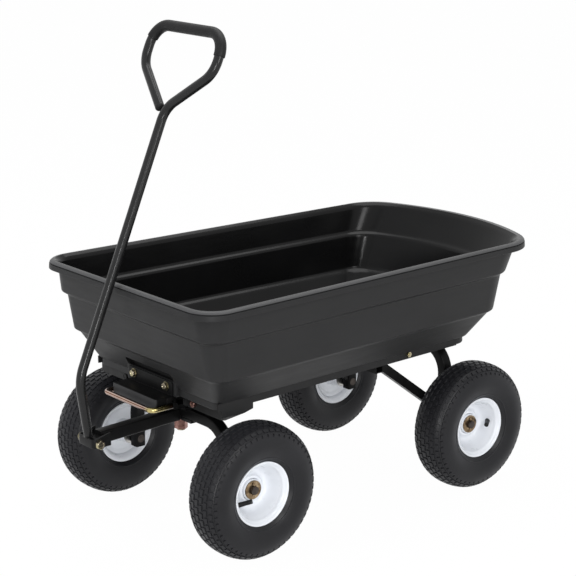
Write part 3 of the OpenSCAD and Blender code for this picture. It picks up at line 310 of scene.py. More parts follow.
class Surface:
    """Small helper round one node material with a Principled shader."""

    def __init__(self, name, **sockets):
        self.mat = bpy.data.materials.new(name)
        self.mat.use_nodes = True
        self.tree = self.mat.node_tree
        self.tree.nodes.clear()
        out = self.tree.nodes.new("ShaderNodeOutputMaterial")
        self.bsdf = self.tree.nodes.new("ShaderNodeBsdfPrincipled")
        self.tree.links.new(self.bsdf.outputs[0], out.inputs["Surface"])
        self.coord = self.tree.nodes.new("ShaderNodeTexCoord")
        for key, value in sockets.items():
            self.bsdf.inputs[key.replace("_", " ")].default_value = value
        self.normal = None

    def place(self, node, stretch=None):
        """Gives a texture node the object's own coordinates, stretched if asked."""
        src = self.coord.outputs["Object"]
        if stretch:
            m = self.tree.nodes.new("ShaderNodeMapping")
            m.inputs["Scale"].default_value = stretch
            self.tree.links.new(src, m.inputs["Vector"])
            src = m.outputs["Vector"]
        self.tree.links.new(src, node.inputs["Vector"])

    def noise(self, scale, detail, rough=0.5, stretch=None, distort=0.0):
        n = self.tree.nodes.new("ShaderNodeTexNoise")
        n.inputs["Scale"].default_value = scale
        n.inputs["Detail"].default_value = detail
        n.inputs["Roughness"].default_value = rough
        n.inputs["Distortion"].default_value = distort
        self.place(n, stretch)
        return n.outputs["Fac"]

    def cells(self, scale):
        n = self.tree.nodes.new("ShaderNodeTexVoronoi")
        n.inputs["Scale"].default_value = scale
        self.place(n)
        return n.outputs["Distance"]

    def axis(self, kind, letter):
        """One coordinate of the texture vector named."""
        n = self.tree.nodes.new("ShaderNodeSeparateXYZ")
        self.tree.links.new(self.coord.outputs[kind], n.inputs[0])
        return n.outputs[letter]

    def between(self, value, low, high):
        """0 at low, 1 at high and beyond, in metres."""
        n = self.tree.nodes.new("ShaderNodeMapRange")
        n.inputs["From Min"].default_value = low
        n.inputs["From Max"].default_value = high
        self.tree.links.new(value, n.inputs["Value"])
        return n.outputs["Result"]

    def ramp(self, fac, *stops):
        """Colours or greys at their stops, picked by fac."""
        r = self.tree.nodes.new("ShaderNodeValToRGB")
        e = r.color_ramp.elements
        while len(e) < len(stops):
            e.new(0.5)
        for el, (pos, col) in zip(e, stops):
            el.position = pos
            el.color = (*col, 1) if isinstance(col, (tuple, list)) else (col, col, col, 1)
        self.tree.links.new(fac, r.inputs["Fac"])
        return r.outputs["Color"]

    def mix(self, fac, a, b, blend="MIX"):
        m = self.tree.nodes.new("ShaderNodeMix")
        m.data_type = "RGBA"
        m.blend_type = blend
        self.put(m.inputs[0], fac)
        self.put(m.inputs[6], a)
        self.put(m.inputs[7], b)
        return m.outputs[2]

    def math(self, op, a, b):
        m = self.tree.nodes.new("ShaderNodeMath")
        m.operation = op
        self.put(m.inputs[0], a)
        self.put(m.inputs[1], b)
        return m.outputs[0]

    def put(self, socket, value):
        """Links a socket, or sets a colour or a number."""
        if hasattr(value, "is_linked"):
            self.tree.links.new(value, socket)
        elif isinstance(value, (tuple, list)):
            socket.default_value = (*value, 1)
        else:
            socket.default_value = value

    def set(self, socket, value):
        """The same for a socket of the shader, by name."""
        self.put(self.bsdf.inputs[socket], value)

    def bump(self, height, strength, depth_mm):
        """Adds a bump on top of those there already."""
        b = self.tree.nodes.new("ShaderNodeBump")
        b.inputs["Strength"].default_value = strength
        b.inputs["Distance"].default_value = depth_mm * MM
        self.tree.links.new(height, b.inputs["Height"])
        if self.normal:
            self.tree.links.new(self.normal, b.inputs["Normal"])
        self.normal = b.outputs["Normal"]
        self.tree.links.new(self.normal, self.bsdf.inputs["Normal"])


def grey(v):
    """Dark grey with a trace of blue."""
    return (v, v, v * 1.02)


def make_tub(name, low, high, rough_a, rough_b, grain, gloss):
    """Moulded plastic: cloudy colour, scuffs along the walls and a fine grain."""
    s = Surface(name, IOR=1.49, Specular_IOR_Level=gloss)
    cloud = s.noise(7, 4)
    s.set("Base Color", s.ramp(cloud, (0.3, grey(low)), (0.7, grey(high))))
    scuff = s.noise(16, 6, 0.65, stretch=(1, 1, 7))
    s.set("Roughness", s.ramp(scuff, (0.32, rough_a), (0.72, rough_b)))
    s.bump(s.noise(5, 2), 0.25, 2.0)
    s.bump(s.cells(900), grain, 0.12)
    return s.mat


tub_out = make_tub("tub_outside", 0.0158, 0.0188, 0.42, 0.52, 0.35, 0.16)
# Lighter copy of the plastic for the lip's bead: painted highlight
tub_lip_highlight = make_tub("tub_lip_highlight", 0.048, 0.058, 0.38, 0.48, 0.25, 0.18)
# Darker copy of the plastic for the inside: painted shade; the inside also has a smoother, glossier skin
shaded_tub_in = make_tub("tub_inside_shaded", 0.004, 0.006, 0.16, 0.24, 0.06, 0.15)
# Darker copy for the cut faces of the bracket's seat and its recess: painted shade
tub_seat_shade = make_tub("tub_seat_shade", 0.005, 0.007, 0.48, 0.58, 0.35, 0.08)


def paint_tone(s, low, high):
    return s.ramp(s.noise(18, 5), (0.35, grey(low)), (0.65, grey(high)))


def paint_skin(s, rough_a=0.36, rough_b=0.46):
    """Half gloss and the fine ripple of powder paint."""
    s.set("Roughness", s.ramp(s.noise(60, 4), (0.35, rough_a), (0.65, rough_b)))
    s.bump(s.noise(420, 2, 0.4), 0.22, 0.25)


def make_powder(name, low, high, rough_a, rough_b, gloss):
    """Black powder paint, a little uneven."""
    s = Surface(name, IOR=1.5, Specular_IOR_Level=gloss)
    s.set("Base Color", paint_tone(s, low, high))
    paint_skin(s, rough_a, rough_b)
    s.bump(s.noise(35, 2), 0.12, 0.4)
    return s.mat


powder = make_powder("powder_black", 0.0040, 0.0058, 0.30, 0.42, 0.14)
# Lighter copy of the black paint for the handle: painted light, with more gloss
handle_paint_lit = make_powder("handle_black_lit", 0.0075, 0.0100, 0.18, 0.27, 0.28)
# Darker copy of the black paint for the axle bows: painted shade
arch_paint_shaded = make_powder("arch_black_shaded", 0.0022, 0.0034, 0.34, 0.46, 0.09)


def make_rail():
    """Grey-black paint on the rails, with painted shade blackening the front-facing faces of the right
    one.
    """
    s = Surface("rail_black", IOR=1.5, Specular_IOR_Level=0.16)
    # Painted shade: the right rail's front-facing faces turn black
    front = s.between(s.axis("Normal", "Y"), -0.5, -0.85)
    right = s.between(s.axis("Object", "X"), -0.01, 0.01)
    front_shade = s.math("MULTIPLY", front, right)
    s.set("Base Color", s.mix(front_shade, paint_tone(s, 0.011, 0.014), paint_tone(s, 0.0025, 0.0040)))
    paint_skin(s)
    return s.mat


rail_paint = make_rail()


def make_bracket():
    """Black paint, with painted light making the front of the lip greyer; the shelf keeps the plain dark
    paint.
    """
    s = Surface("bracket_black", IOR=1.5, Specular_IOR_Level=0.1)
    # Painted light: lighter grey on the lip's front faces
    lit_front = s.ramp(s.noise(30, 5), (0.3, grey(0.026)), (0.7, grey(0.034)))
    front = s.between(s.axis("Normal", "Y"), -0.35, -0.8)
    low = s.between(s.axis("Object", "Z"), 0.2895, 0.2865)
    s.set("Base Color", s.mix(s.math("MULTIPLY", front, low), paint_tone(s, 0.0035, 0.0050), lit_front))
    paint_skin(s)
    return s.mat


bracket_paint = make_bracket()


def make_plate(name, rough, *stops):
    """Plated metal with patchy colour."""
    s = Surface(name, Metallic=1.0)
    s.set("Base Color", s.ramp(s.noise(70, 4, 0.6, distort=0.6), *stops))
    s.set("Roughness", s.ramp(s.noise(140, 5), (0.3, rough), (0.7, rough + 0.14)))
    s.bump(s.noise(500, 3), 0.15, 0.08)
    return s.mat


zinc = make_plate("yellow_zinc", 0.18, (0.28, (0.30, 0.25, 0.12)), (0.45, (0.46, 0.42, 0.27)),
                  (0.58, (0.40, 0.34, 0.26)), (0.72, (0.24, 0.23, 0.14)))
washer_zinc = make_plate("dull_zinc", 0.28, (0.3, (0.08, 0.07, 0.045)), (0.5, (0.18, 0.16, 0.10)),
                         (0.7, (0.06, 0.055, 0.04)))
pink_zinc = make_plate("pink_zinc", 0.24, (0.3, (0.20, 0.10, 0.085)), (0.5, (0.36, 0.20, 0.17)),
                       (0.7, (0.22, 0.11, 0.09)))
bronze = make_plate("bronze_zinc", 0.26, (0.32, (0.09, 0.06, 0.035)), (0.5, (0.24, 0.17, 0.10)),
                    (0.66, (0.46, 0.35, 0.22)))


def make_bail():
    """Pink zinc coloured by which way the surface faces, a painted reflection with a dark band along the
    rod and a dark top; yellow at the right bend, and painted shade darkening the legs towards the rear.
    """
    s = Surface("bail_zinc", Metallic=1.0)
    # Colour by the way the surface faces is painted reflection: dark_reflection is the dark band along
    # the rod, pale the lit sides
    pale, dark_reflection = (0.58, 0.45, 0.40), (0.20, 0.085, 0.04)
    base = s.ramp(s.axis("Normal", "Z"), (0.0, (0.42, 0.31, 0.27)), (0.22, pale), (0.30, dark_reflection),
                  (0.56, dark_reflection), (0.66, pale), (0.86, (0.48, 0.36, 0.31)), (0.98, (0.16, 0.10, 0.07)))
    bend = s.between(s.axis("Object", "X"), 0.058, 0.072)
    base = s.mix(bend, base, (0.56, 0.47, 0.20))
    front = (BAIL_FRONT + SHIFT) * MM
    # Painted shade: the legs darken towards the rear, under the bracket
    rear = s.between(s.axis("Object", "Y"), front + 0.008, front + 0.040)
    base = s.mix(rear, base, (0.035, 0.02, 0.012))
    blotch = s.ramp(s.noise(60, 4, 0.6, distort=0.8), (0.3, 0.72), (0.7, 1.0))
    s.set("Base Color", s.mix(1.0, base, blotch, "MULTIPLY"))
    s.set("Roughness", s.ramp(s.noise(120, 5), (0.3, 0.16), (0.7, 0.3)))
    s.bump(s.noise(380, 3), 0.12, 0.08)
    return s.mat


bail_zinc = make_bail()


def make_steel():
    """Plain steel with fine turning marks."""
    s = Surface("bright_steel", Metallic=1.0)
    s.set("Base Color", s.ramp(s.noise(80, 4), (0.3, (0.42, 0.41, 0.39)), (0.7, (0.58, 0.57, 0.55))))
    s.set("Roughness", s.ramp(s.noise(200, 4, stretch=(6, 1, 1)), (0.3, 0.28), (0.7, 0.45)))
    s.bump(s.noise(300, 3, stretch=(5, 1, 1)), 0.2, 0.08)
    return s.mat


steel = make_steel()


def make_axle():
    """Dark steel of the axle ends."""
    s = Surface("axle_steel", Metallic=0.75)
    dark, light = (0.028, 0.023, 0.02), (0.075, 0.062, 0.055)
    s.set("Base Color", s.ramp(s.noise(120, 5), (0.3, dark), (0.72, light)))
    s.set("Roughness", s.ramp(s.noise(260, 4), (0.3, 0.4), (0.7, 0.58)))
    s.bump(s.noise(240, 4), 0.3, 0.15)
    return s.mat


axle = make_axle()


def make_rim():
    """White gloss paint."""
    s = Surface("rim_white", IOR=1.5, Coat_Weight=0.12, Coat_Roughness=0.15)
    s.set("Base Color", s.ramp(s.noise(22, 4), (0.3, (0.68, 0.70, 0.735)), (0.7, (0.72, 0.74, 0.775))))
    s.set("Roughness", s.ramp(s.noise(70, 3), (0.3, 0.26), (0.7, 0.38)))
    s.bump(s.noise(260, 2), 0.1, 0.15)
    return s.mat


rim_white = make_rim()


def make_tyre():
    """Dull rubber with a faint blue sheen, a painted blue reflection."""
    s = Surface("tyre_rubber", IOR=1.5, Specular_IOR_Level=0.22, Sheen_Weight=0.02, Sheen_Roughness=0.5)
    # The blue sheen tint is a painted blue reflection
    s.bsdf.inputs["Sheen Tint"].default_value = (0.75, 0.8, 1.0, 1)
    dark, light = (0.0080, 0.0080, 0.0092), (0.0115, 0.0115, 0.0132)
    s.set("Base Color", s.ramp(s.noise(14, 6, 0.6), (0.3, dark), (0.7, light)))
    s.set("Roughness", s.ramp(s.noise(45, 5, 0.6), (0.3, 0.32), (0.7, 0.48)))
    s.bump(s.noise(700, 3, 0.6), 0.25, 0.2)
    s.bump(s.noise(60, 3), 0.12, 0.5)
    return s.mat


tyre_mat = make_tyre()


def make_rubber():
    """Rubber of the valves, the end plug and the bumpers."""
    s = Surface("black_rubber", IOR=1.5, Specular_IOR_Level=0.2)
    s.set("Base Color", s.ramp(s.noise(40, 4), (0.3, grey(0.006)), (0.7, grey(0.010))))
    s.set("Roughness", s.ramp(s.noise(90, 4), (0.3, 0.45), (0.7, 0.62)))
    s.bump(s.noise(650, 3), 0.25, 0.15)
    return s.mat


rubber = make_rubber()


def make_grip():
    """Sleeve with a pebbled skin."""
    s = Surface("grip_sleeve", IOR=1.48, Specular_IOR_Level=0.2)
    s.set("Base Color", s.ramp(s.noise(60, 4), (0.3, grey(0.006)), (0.7, grey(0.009))))
    s.set("Roughness", s.ramp(s.noise(120, 4), (0.3, 0.42), (0.7, 0.55)))
    s.bump(s.cells(1300), 0.35, 0.15)
    return s.mat


grip_mat = make_grip()


# Tub

# Heights of the underside and the crest, and the plan at the crest: half its width, its front and its
# rear from the middle, the taper of its sides and the radius of the bow at its rear
BASE, CREST = 286.0, 498.0
HALF, FRONT, REAR = 249.8, 412.9, 476.9
TAPER, BOW = 0.0297, 473.0
# Radius of the plan's corners at the base and what it gains up to the crest
FRONT_CORNER, FRONT_GAIN = 17, 32
REAR_CORNER, REAR_GAIN = 35, 48
WALL = 4.5
LIP_Z, LIP_OUT = 490, 8.9


def half_plan(w, f, b, rf, rr, nf=14, ns=10, nr=18, nb=16):
    """Right half of the plan, from the middle of the front round to the middle of the rear bow.

    w is half the width beside the origin, f and b are the front and the rear, rf and rr the radii of the
    corners, and the rest is how many steps each stretch has.
    """
    t = TAPER
    s = math.sqrt(1 + t * t)
    a0 = math.atan(t)
    # Centre of the front corner, which touches the front and the side
    fy = f + rf
    fx = w - t * fy - rf * s
    # Centre of the rear corner, which touches the side and the bow about y0
    y0 = b - BOW
    c = w - rr * s
    qa, qb = 1 + t * t, -2 * c * t - 2 * y0
    qc = c * c + y0 * y0 - (BOW - rr) ** 2
    cy = (-qb + math.sqrt(qb * qb - 4 * qa * qc)) / (2 * qa)
    cx = c - t * cy
    phi = math.atan2(cy - y0, cx)
    out = [(fx * k / 6, f) for k in range(6)]
    for i in range(nf + 1):
        a = -math.pi / 2 + (a0 + math.pi / 2) * i / nf
        out.append((fx + rf * math.cos(a), fy + rf * math.sin(a)))
    p = Vector(out[-1])
    q = Vector((cx + rr * math.cos(a0), cy + rr * math.sin(a0)))
    out += [tuple(p.lerp(q, k / ns)) for k in range(1, ns)]
    for i in range(nr + 1):
        a = a0 + (phi - a0) * i / nr
        out.append((cx + rr * math.cos(a), cy + rr * math.sin(a)))
    for i in range(1, nb + 1):
        a = phi + (math.pi / 2 - phi) * i / nb
        out.append((BOW * math.cos(a), y0 + BOW * math.sin(a)))
    return out


def tub_ring(z, side, front, rear, less):
    """Plan of the wall at one height; the arguments are those of a key below."""
    k = min(1, max(0, (z - BASE) / (CREST - BASE)))
    rf = max(FRONT_CORNER + FRONT_GAIN * k - less, 1)
    rr = max(REAR_CORNER + REAR_GAIN * k - less, 1)
    h = half_plan(HALF - side, front - FRONT, REAR - rear, rf, rr)
    return [(x, y, z) for x, y in h] + [(-x, y, z) for x, y in h[-2:0:-1]]


def all_round(z, out):
    """Key that stands out from the crest's plan by one length on every side."""
    return (z, -out, -out, -out, -out)


# Keys of the wall's profile, from the underside out and up, and from the crest down the inside. A key is
# the height, how far side, front and rear stand in from the crest's plan, and how much smaller the
# corners of the plan are. The number beside a key is the length that rounds the profile's corner there.
OUTSIDE = [((BASE, 73, 76, 133, 0), 0), ((BASE, 70, 73, 130, 0), 2.5),
           ((301, 70, 73, 130, 0), 2), ((301, 62.8, 71, 124, 0), 2.5),
           ((351, 31.9, 44.5, 77.5, 0), 2.5), ((357, 23.4, 36, 69, 0), 2.5),
           ((429, 18.5, 21.5, 48.5, 0), 2.5), ((435, 10, 13, 40, 0), 2.5),
           ((488, 5.3, 6, 12, 0), 4), (all_round(488, 4.9), 1.2),
           (all_round(481, 4.9), 0.8), (all_round(481, LIP_OUT), 1.0), (all_round(491.2, 8.7), 0.6),
           (all_round(492.2, 5.9), 0.3), (all_round(493.1, 5.9), 0.3), (all_round(493.8, 7.9), 0)]
INSIDE = [((CREST, 1.5, 1.8, 8, 1.5), 0), ((491, 9.8, 10.5, 16.5, WALL), 5),
          ((439.5, 14.5, 17.5, 44.5, WALL), 4), ((433.5, 23, 26, 53, WALL), 4),
          ((361.5, 27.9, 40.5, 73.5, WALL), 4), ((355.5, 36.4, 49, 82, WALL), 4),
          ((305.5, 67.3, 75.5, 128.5, WALL), 6), ((290, 74.5, 77.5, 134.5, WALL), 8),
          ((290, 95, 97, 152, WALL), 0)]


def soften(keys, steps=5):
    """The keys' profile with its corners rounded."""
    out = []
    for i, (key, cut) in enumerate(keys):
        if not cut:
            out.append(key)
            continue
        p, a, b = (Vector(k) for k in (key, keys[i - 1][0], keys[i + 1][0]))
        la = math.hypot(p[0] - a[0], p[1] - a[1])
        lb = math.hypot(p[0] - b[0], p[1] - b[1])
        q0, q1 = p.lerp(a, min(cut / la, 0.48)), p.lerp(b, min(cut / lb, 0.48))
        out += [tuple(curve(q0, p, q1, j / steps)) for j in range(steps + 1)]
    return out


def tub_shape():
    """The shell, with the numbers of the first points of the lip's bead and of the inside."""
    outer = soften(OUTSIDE)
    arc = [math.radians(a) for a in range(34, 91, 8)]
    lip = [all_round(LIP_Z + (CREST - LIP_Z) * math.sin(a), LIP_OUT * math.cos(a)) for a in arc]
    rings = [tub_ring(*key) for key in outer + lip + soften(INSIDE)]
    n = len(rings[0])
    bead = (len(outer) - 1) * n
    return loft(rings), bead, bead + len(lip) * n


def tub():
    shell, bead, inner = tub_shape()

    # Inside faces take the darker copy (painted shade), the lip's bead the lighter one (painted
    # highlight)
    def side_of(face):
        start = min(face.vertices)
        return 1 if start >= inner else 2 if start >= bead else 0

    sharp = 32
    obj = piece("tub_shell", shell, "bed", ["tub"], [tub_out, shaded_tub_in, tub_lip_highlight],
                sharp, side_of)
    # Seat of the latch bracket: a pad inside the wall, a flat cut before it and a recess over the plate,
    # whose cut faces carry painted shade
    seat = [("seat_pad", "UNION", tub_out, (-78, -349, BASE), (78, -334, 334)),
            ("seat_cut", "DIFFERENCE", tub_seat_shade, (-73.5, -480, 270), (73.5, -349, 329.5)),
            ("seat_recess", "DIFFERENCE", tub_seat_shade, (-71.5, -365, 316), (71.5, -341, 331))]
    tools = []
    for name, op, mat, lo, hi in seat:
        tools.append(piece(name, box_shape(lo, hi, 3, 1), "bed", [], mat))
        mod = obj.modifiers.new(name, "BOOLEAN")
        mod.object = tools[-1]
        mod.operation = op
        mod.solver = "EXACT"
        mod.material_mode = "TRANSFER"
    deps = bpy.context.evaluated_depsgraph_get()
    mesh = bpy.data.meshes.new_from_object(obj.evaluated_get(deps))
    obj.modifiers.clear()
    old = obj.data
    obj.data = mesh
    bpy.data.meshes.remove(old)
    mesh.name = "tub_shell"
    mesh.shade_smooth()
    mesh.set_sharp_from_angle(angle=math.radians(sharp))
    for tool in tools:
        bpy.data.objects.remove(tool)


tub()


# Wheels

# Height of the axles, and each wheel's distance from the middle
AXLE_Z, TRACK = 130.0, 218.0
PITCHES = 54
TREAD_DEPTH, TREAD_EDGE = 2.0, 0.8


def spline(points, per):
    """Smooth curve through the points."""
    out = []
    pts = [Vector(p) for p in points]
    for i in range(len(pts) - 1):
        p0, p1, p2 = pts[max(i - 1, 0)], pts[i], pts[i + 1]
        p3 = pts[min(i + 2, len(pts) - 1)]
        for j in range(per):
            t = j / per
            out.append(0.5 * (2 * p1 + (p2 - p0) * t + (2 * p0 - 5 * p1 + 4 * p2 - p3) * t * t
                              + (3 * p1 - p0 - 3 * p2 + p3) * t ** 3))
    out.append(pts[-1])
    return out


def tyre_profile():
    """Half outline from the crown to the bead, as (length from the crown, point, normal)."""
    line = spline([(130, 0), (129.5, 11), (126.4, 24.3), (118, 35.3), (104.4, 41.2), (90.5, 42.5),
                   (77.9, 39.5), (70, 35.7), (62.5, 29.6)], 10)
    out, s = [], 0.0
    for i, p in enumerate(line):
        if i:
            s += (p - line[i - 1]).length
        a, b = line[max(i - 1, 0)], line[min(i + 1, len(line) - 1)]
        t = (b - a).normalized()
        n = Vector((-t.y, t.x))
        if i == 0:
            n = Vector((1, 0))
        if n.dot(p - Vector((95, 0))) < 0:
            n = -n
        out.append((s, p, n))
    return out


def sample(profile, s):
    """Point and normal of the outline at a length from its crown."""
    for (s0, p0, n0), (s1, p1, n1) in zip(profile, profile[1:]):
        if s <= s1:
            t = (s - s0) / (s1 - s0)
            return p0.lerp(p1, t), n0.lerp(n1, t).normalized()
    return profile[-1][1], profile[-1][2]


def tyre_shape(side, wy):
    """Hollow tyre with rows of blocks round its tread and a rib on each wall."""
    profile = tyre_profile()
    total = profile[-1][0]
    # Rows of blocks: from, to, phase of the gaps between blocks
    rows = [(-4.6, 4.6, 0), (7.6, 15.4, 1), (18.4, 26.2, 0), (29.2, 37.0, 1), (40.0, 44.8, 0)]
    # Lines round the tyre: length from the crown, phase, raised, height of the rib
    half = [(0.0, 0, 1, 0.0)]
    for lo, hi, phase in rows:
        for t, up in ((lo, 0), (lo + TREAD_EDGE, 1), (hi - TREAD_EDGE, 1), (hi, 0)):
            if t >= 0:
                half.append((t, phase, up, 0.0))
    # The outermost blocks run out into the wall
    half.pop()
    wall_from, wall_step, rib_at = 46.8, 3.2, total - 10.5
    rib = {rib_at - 1.6: 0.0, rib_at - 0.6: 0.8, rib_at + 0.6: 0.8, rib_at + 1.6: 0.0}
    wall = [wall_from + wall_step * k for k in range(int((total - 47.5) / wall_step))]
    wall = [t for t in wall if all(abs(t - r) > 1.2 for r in rib)]
    half += [(t, None, 1, rib.get(t, 0.0)) for t in sorted(wall + list(rib))]
    half.append((total, None, 1, 0.0))
    # Columns over one pitch: position, raised for each phase
    cols = [(-0.16, (1, 1)), (-0.11, (0, 1)), (0.11, (0, 1)), (0.16, (1, 1)),
            (0.34, (1, 1)), (0.39, (1, 0)), (0.61, (1, 0)), (0.66, (1, 1))]
    angles = [(2 * math.pi * (k + c) / PITCHES, up) for k in range(PITCHES) for c, up in cols]

    def place(r, a, ang):
        return (side * (TRACK + a), wy + r * math.cos(ang), AXLE_Z + r * math.sin(ang))

    rings = []
    both = [(-1, line) for line in reversed(half)] + [(1, line) for line in half[1:]]
    for sign, (t, phase, up, high) in both:
        p, nrm = sample(profile, t)
        ring = []
        for ang, raised in angles:
            lift = high
            if phase is not None:
                lift = -TREAD_DEPTH * (1 - up * raised[phase])
            ring.append(place(p.x + nrm.x * lift, sign * (p.y + nrm.y * lift), ang))
        rings.append(ring)
    # Beads inside the rim, as (radius, distance outwards)
    for r, a in ((58, 26.5), (54, 22)):
        rings.insert(0, [place(r, -a, ang) for ang, _ in angles])
        rings.append([place(r, a, ang) for ang, _ in angles])
    return loft(rings, wrap=True)


def rim_profile():
    """Closed outline of the pressed rim with its hub disc, as (radius, distance outwards)."""
    boss = [(20.3, -6), (20.6, -3.6), (22.0, -2.2), (24.2, -2.0), (26.2, -3.4), (28.2, -6.6),
            (30.8, -9.0)]
    dish = [(35, -9.3), (39, -7.2), (42.4, -2.2), (45.2, 5), (48.0, 13), (51.4, 20.5),
            (55.2, 26.7), (58.4, 30.4)]
    edge = 60.6
    face = [tuple(p) for p in spline(boss + dish + [(edge, 31.5)], 4)]
    curl = [math.radians(90 - 30 * k) for k in range(1, 6)]
    lip = [(edge + 1.4 * math.cos(t), 30.1 + 1.4 * math.sin(t)) for t in curl]
    turn = [math.radians(90 * k / 14) for k in range(15)]
    seat = [(edge - 9.6 * math.cos(t), 18 + 10.7 * math.sin(t)) for t in reversed(turn)]
    bell = [(edge - 12.1 * math.cos(t), 18 + 13.5 * math.sin(t)) for t in turn]
    back = [(r, -a) for r, a in reversed(bell + lip + seat)]
    return face + lip + seat + back + [(43.5, -17.5), (41, -15.6), (38, -15), (20.3, -15)]


# Outlines of the hub tube and of the weld behind the disc, as (radius, distance outwards)
HUB = round_profile([(17.6, -49), (20, -49), (20, 1), (17.6, 1)], 0.8)
HUB_WELD = [(19.5, -14.4), (24.2, -14.4), (23.4, -15.9), (21.6, -17.2), (20.4, -18.8), (19.5, -18.8)]


def valve_shape(side, wy, angle):
    """Rubber valve stem that leans inwards from the dish, at an angle round the axle."""
    lean = math.radians(39)
    start = Vector((48.5, 0, 6.4))
    along = Vector((-math.cos(lean), 0, math.sin(lean)))
    prof = [(5.6, -4), (5.6, 0.8), (5.2, 2.0), (4.75, 3.2), (4.55, 14), (4.3, 20), (4.3, 22.6),
            (4.5, 22.9), (4.5, 31.2), (4.1, 32.0), (3.4, 32.2), (3.2, 31.4)]
    v, f = lathe(prof, (0, 0, 0), (0, 0, 1), 28, wrap=False)
    side_dir = Vector((0, 1, 0))
    third = side_dir.cross(along)
    out = []
    c, s = math.cos(angle), math.sin(angle)
    for x, y, z in v:
        r, tang, a = start + third * x + side_dir * y + along * z
        out.append((side * (TRACK + a), wy + r * c - tang * s, AXLE_Z + r * s + tang * c))
    return out, f


def split_pin(side, wy):
    """Split pin through the axle: eye above, two legs bent apart below."""
    x = side * (TRACK + 5.6)
    parts = []
    for k in (-1, 1):
        path = [(x, wy + k * 0.55, AXLE_Z + 13.6), (x, wy + k * 0.6, AXLE_Z - 9.4),
                (x + side * 0.2, wy + k * 3.4, AXLE_Z - 13.4)]
        parts.append(sweep(fillet(path, [0, 2.5, 0]), circle(1.15, 12), (1, 0, 0)))
    eye = [(x, wy + 2.3 * math.cos(t), AXLE_Z + 11.6 + 2.3 * math.sin(t))
           for t in (math.radians(-60 + 300 * i / 18) for i in range(19))]
    parts.append(sweep([Vector(p) for p in eye], circle(1.3, 12), (1, 0, 0)))
    return join(*parts)


# Where each valve stands round its axle
VALVES = {"front_right": math.radians(203.4), "rear_right": math.radians(-2.2),
          "front_left": math.radians(2.2), "rear_left": math.radians(156.6)}

for where, wy in (("front", -AXLE_Y), ("rear", AXLE_Y)):
    for hand, side in (("left", -1), ("right", 1)):
        key = where + "_" + hand
        body = "wheel_" + key
        piece("tyre_tread_" + key, tyre_shape(side, wy), body, ["tyre_" + key],
              tyre_mat, 30)
        o, ax = (side * TRACK, wy, AXLE_Z), (side, 0, 0)
        disc = join(lathe(rim_profile(), o, ax, 96), lathe(HUB, o, ax, 72), lathe(HUB_WELD, o, ax, 72))
        piece("rim_disc_" + key, disc, body, ["rim_" + key], rim_white, 42)
        piece("valve_stem_" + key, valve_shape(side, wy, VALVES[key]), body, ["valve_" + key],
              rubber, 35)
        dress("bearings_" + key, steel, 0.5)


# Spacer between the arch and the wheel, as (radius, distance from the middle)
SPACER = round_profile([(8.1, 157), (13, 157), (13, 168.7), (8.1, 168.7)], 0.8)


def is_spacer(face):
    """Picks the second material for the spacers, which lie nearer the middle than the washers."""
    return 1 if abs(face.center.x) < 0.18 else 0


for where, wy, body in (("front", -AXLE_Y, "front_axle"), ("rear", AXLE_Y, "chassis")):
    rings, pins = [], []
    for side in (-1, 1):
        rings.append(washer((side * (TRACK + 1.3), wy, AXLE_Z), (side, 0, 0), 36, 16.1, 2.5, 0.7))
        rings.append(lathe(SPACER, (0, wy, AXLE_Z), (side, 0, 0), 48))
        pins.append(split_pin(side, wy))
    piece(where + "_axle_washers", join(*rings), body, [where + "_washers"],
          [bronze, powder], 35, is_spacer)
    piece(where + "_cotters", join(*pins), body, [where + "_split_pins"], bronze, 35)
    dress(where + "_stubs", axle, 0.9, 3)


# Frame

TUBE_SIZE = 22
TUBE = rounded_box(TUBE_SIZE, TUBE_SIZE, 3.2)


def arch_shape(y, top):
    """Square tube bent to an arch, whose legs carry the stub axles."""
    leg, foot, bend = 146, 114, 54
    mid = top - TUBE_SIZE / 2
    corners = [(-leg, y, foot), (-leg, y, mid), (leg, y, mid), (leg, y, foot)]
    return sweep(fillet(corners, [0, bend, bend, 0], 18), TUBE, (0, 1, 0))


for where, wy, top, body in (("front", -AXLE_Y, 241, "front_axle"), ("rear", AXLE_Y, 285, "chassis")):
    piece(where + "_axle_bow", arch_shape(wy, top), body, [where + "_arch"],
          arch_paint_shaded, 40)

# CAD nodes that stay, with their material and the width of their softened edges
for nodes, mat, edge in (
        (("spine", "king_plate", "cross_arms", "hinge_ears", "hinge_brackets", "latch_hook",
          "head_plates", "braces", "latch_shaft", "pivot_tube"), powder, 0.9),
        (("rail_left", "rail_right"), rail_paint, 0.9),
        (("striker", "thrust_washer", "kingpin", "rail_bolts", "hinge_bolts", "hinge_nuts",
          "bracket_nuts"), zinc, 0.5),
        (("rail_nuts",), zinc, 0.7),
        (("kingpin_nut",), pink_zinc, 0.9)):
    for node in nodes:
        dress(node, mat, edge)
dress("bumpers", rubber, 1.2, 3)

draw_path = [Vector((0, -471.5, 216.5)), Vector((0, -292.5, 222))]
piece("draw_tube", sweep(draw_path, rounded_box(24, 24, 3.2), (1, 0, 0)), "front_axle", ["drawbar"],
      powder, 40)


# Latch bracket and bail

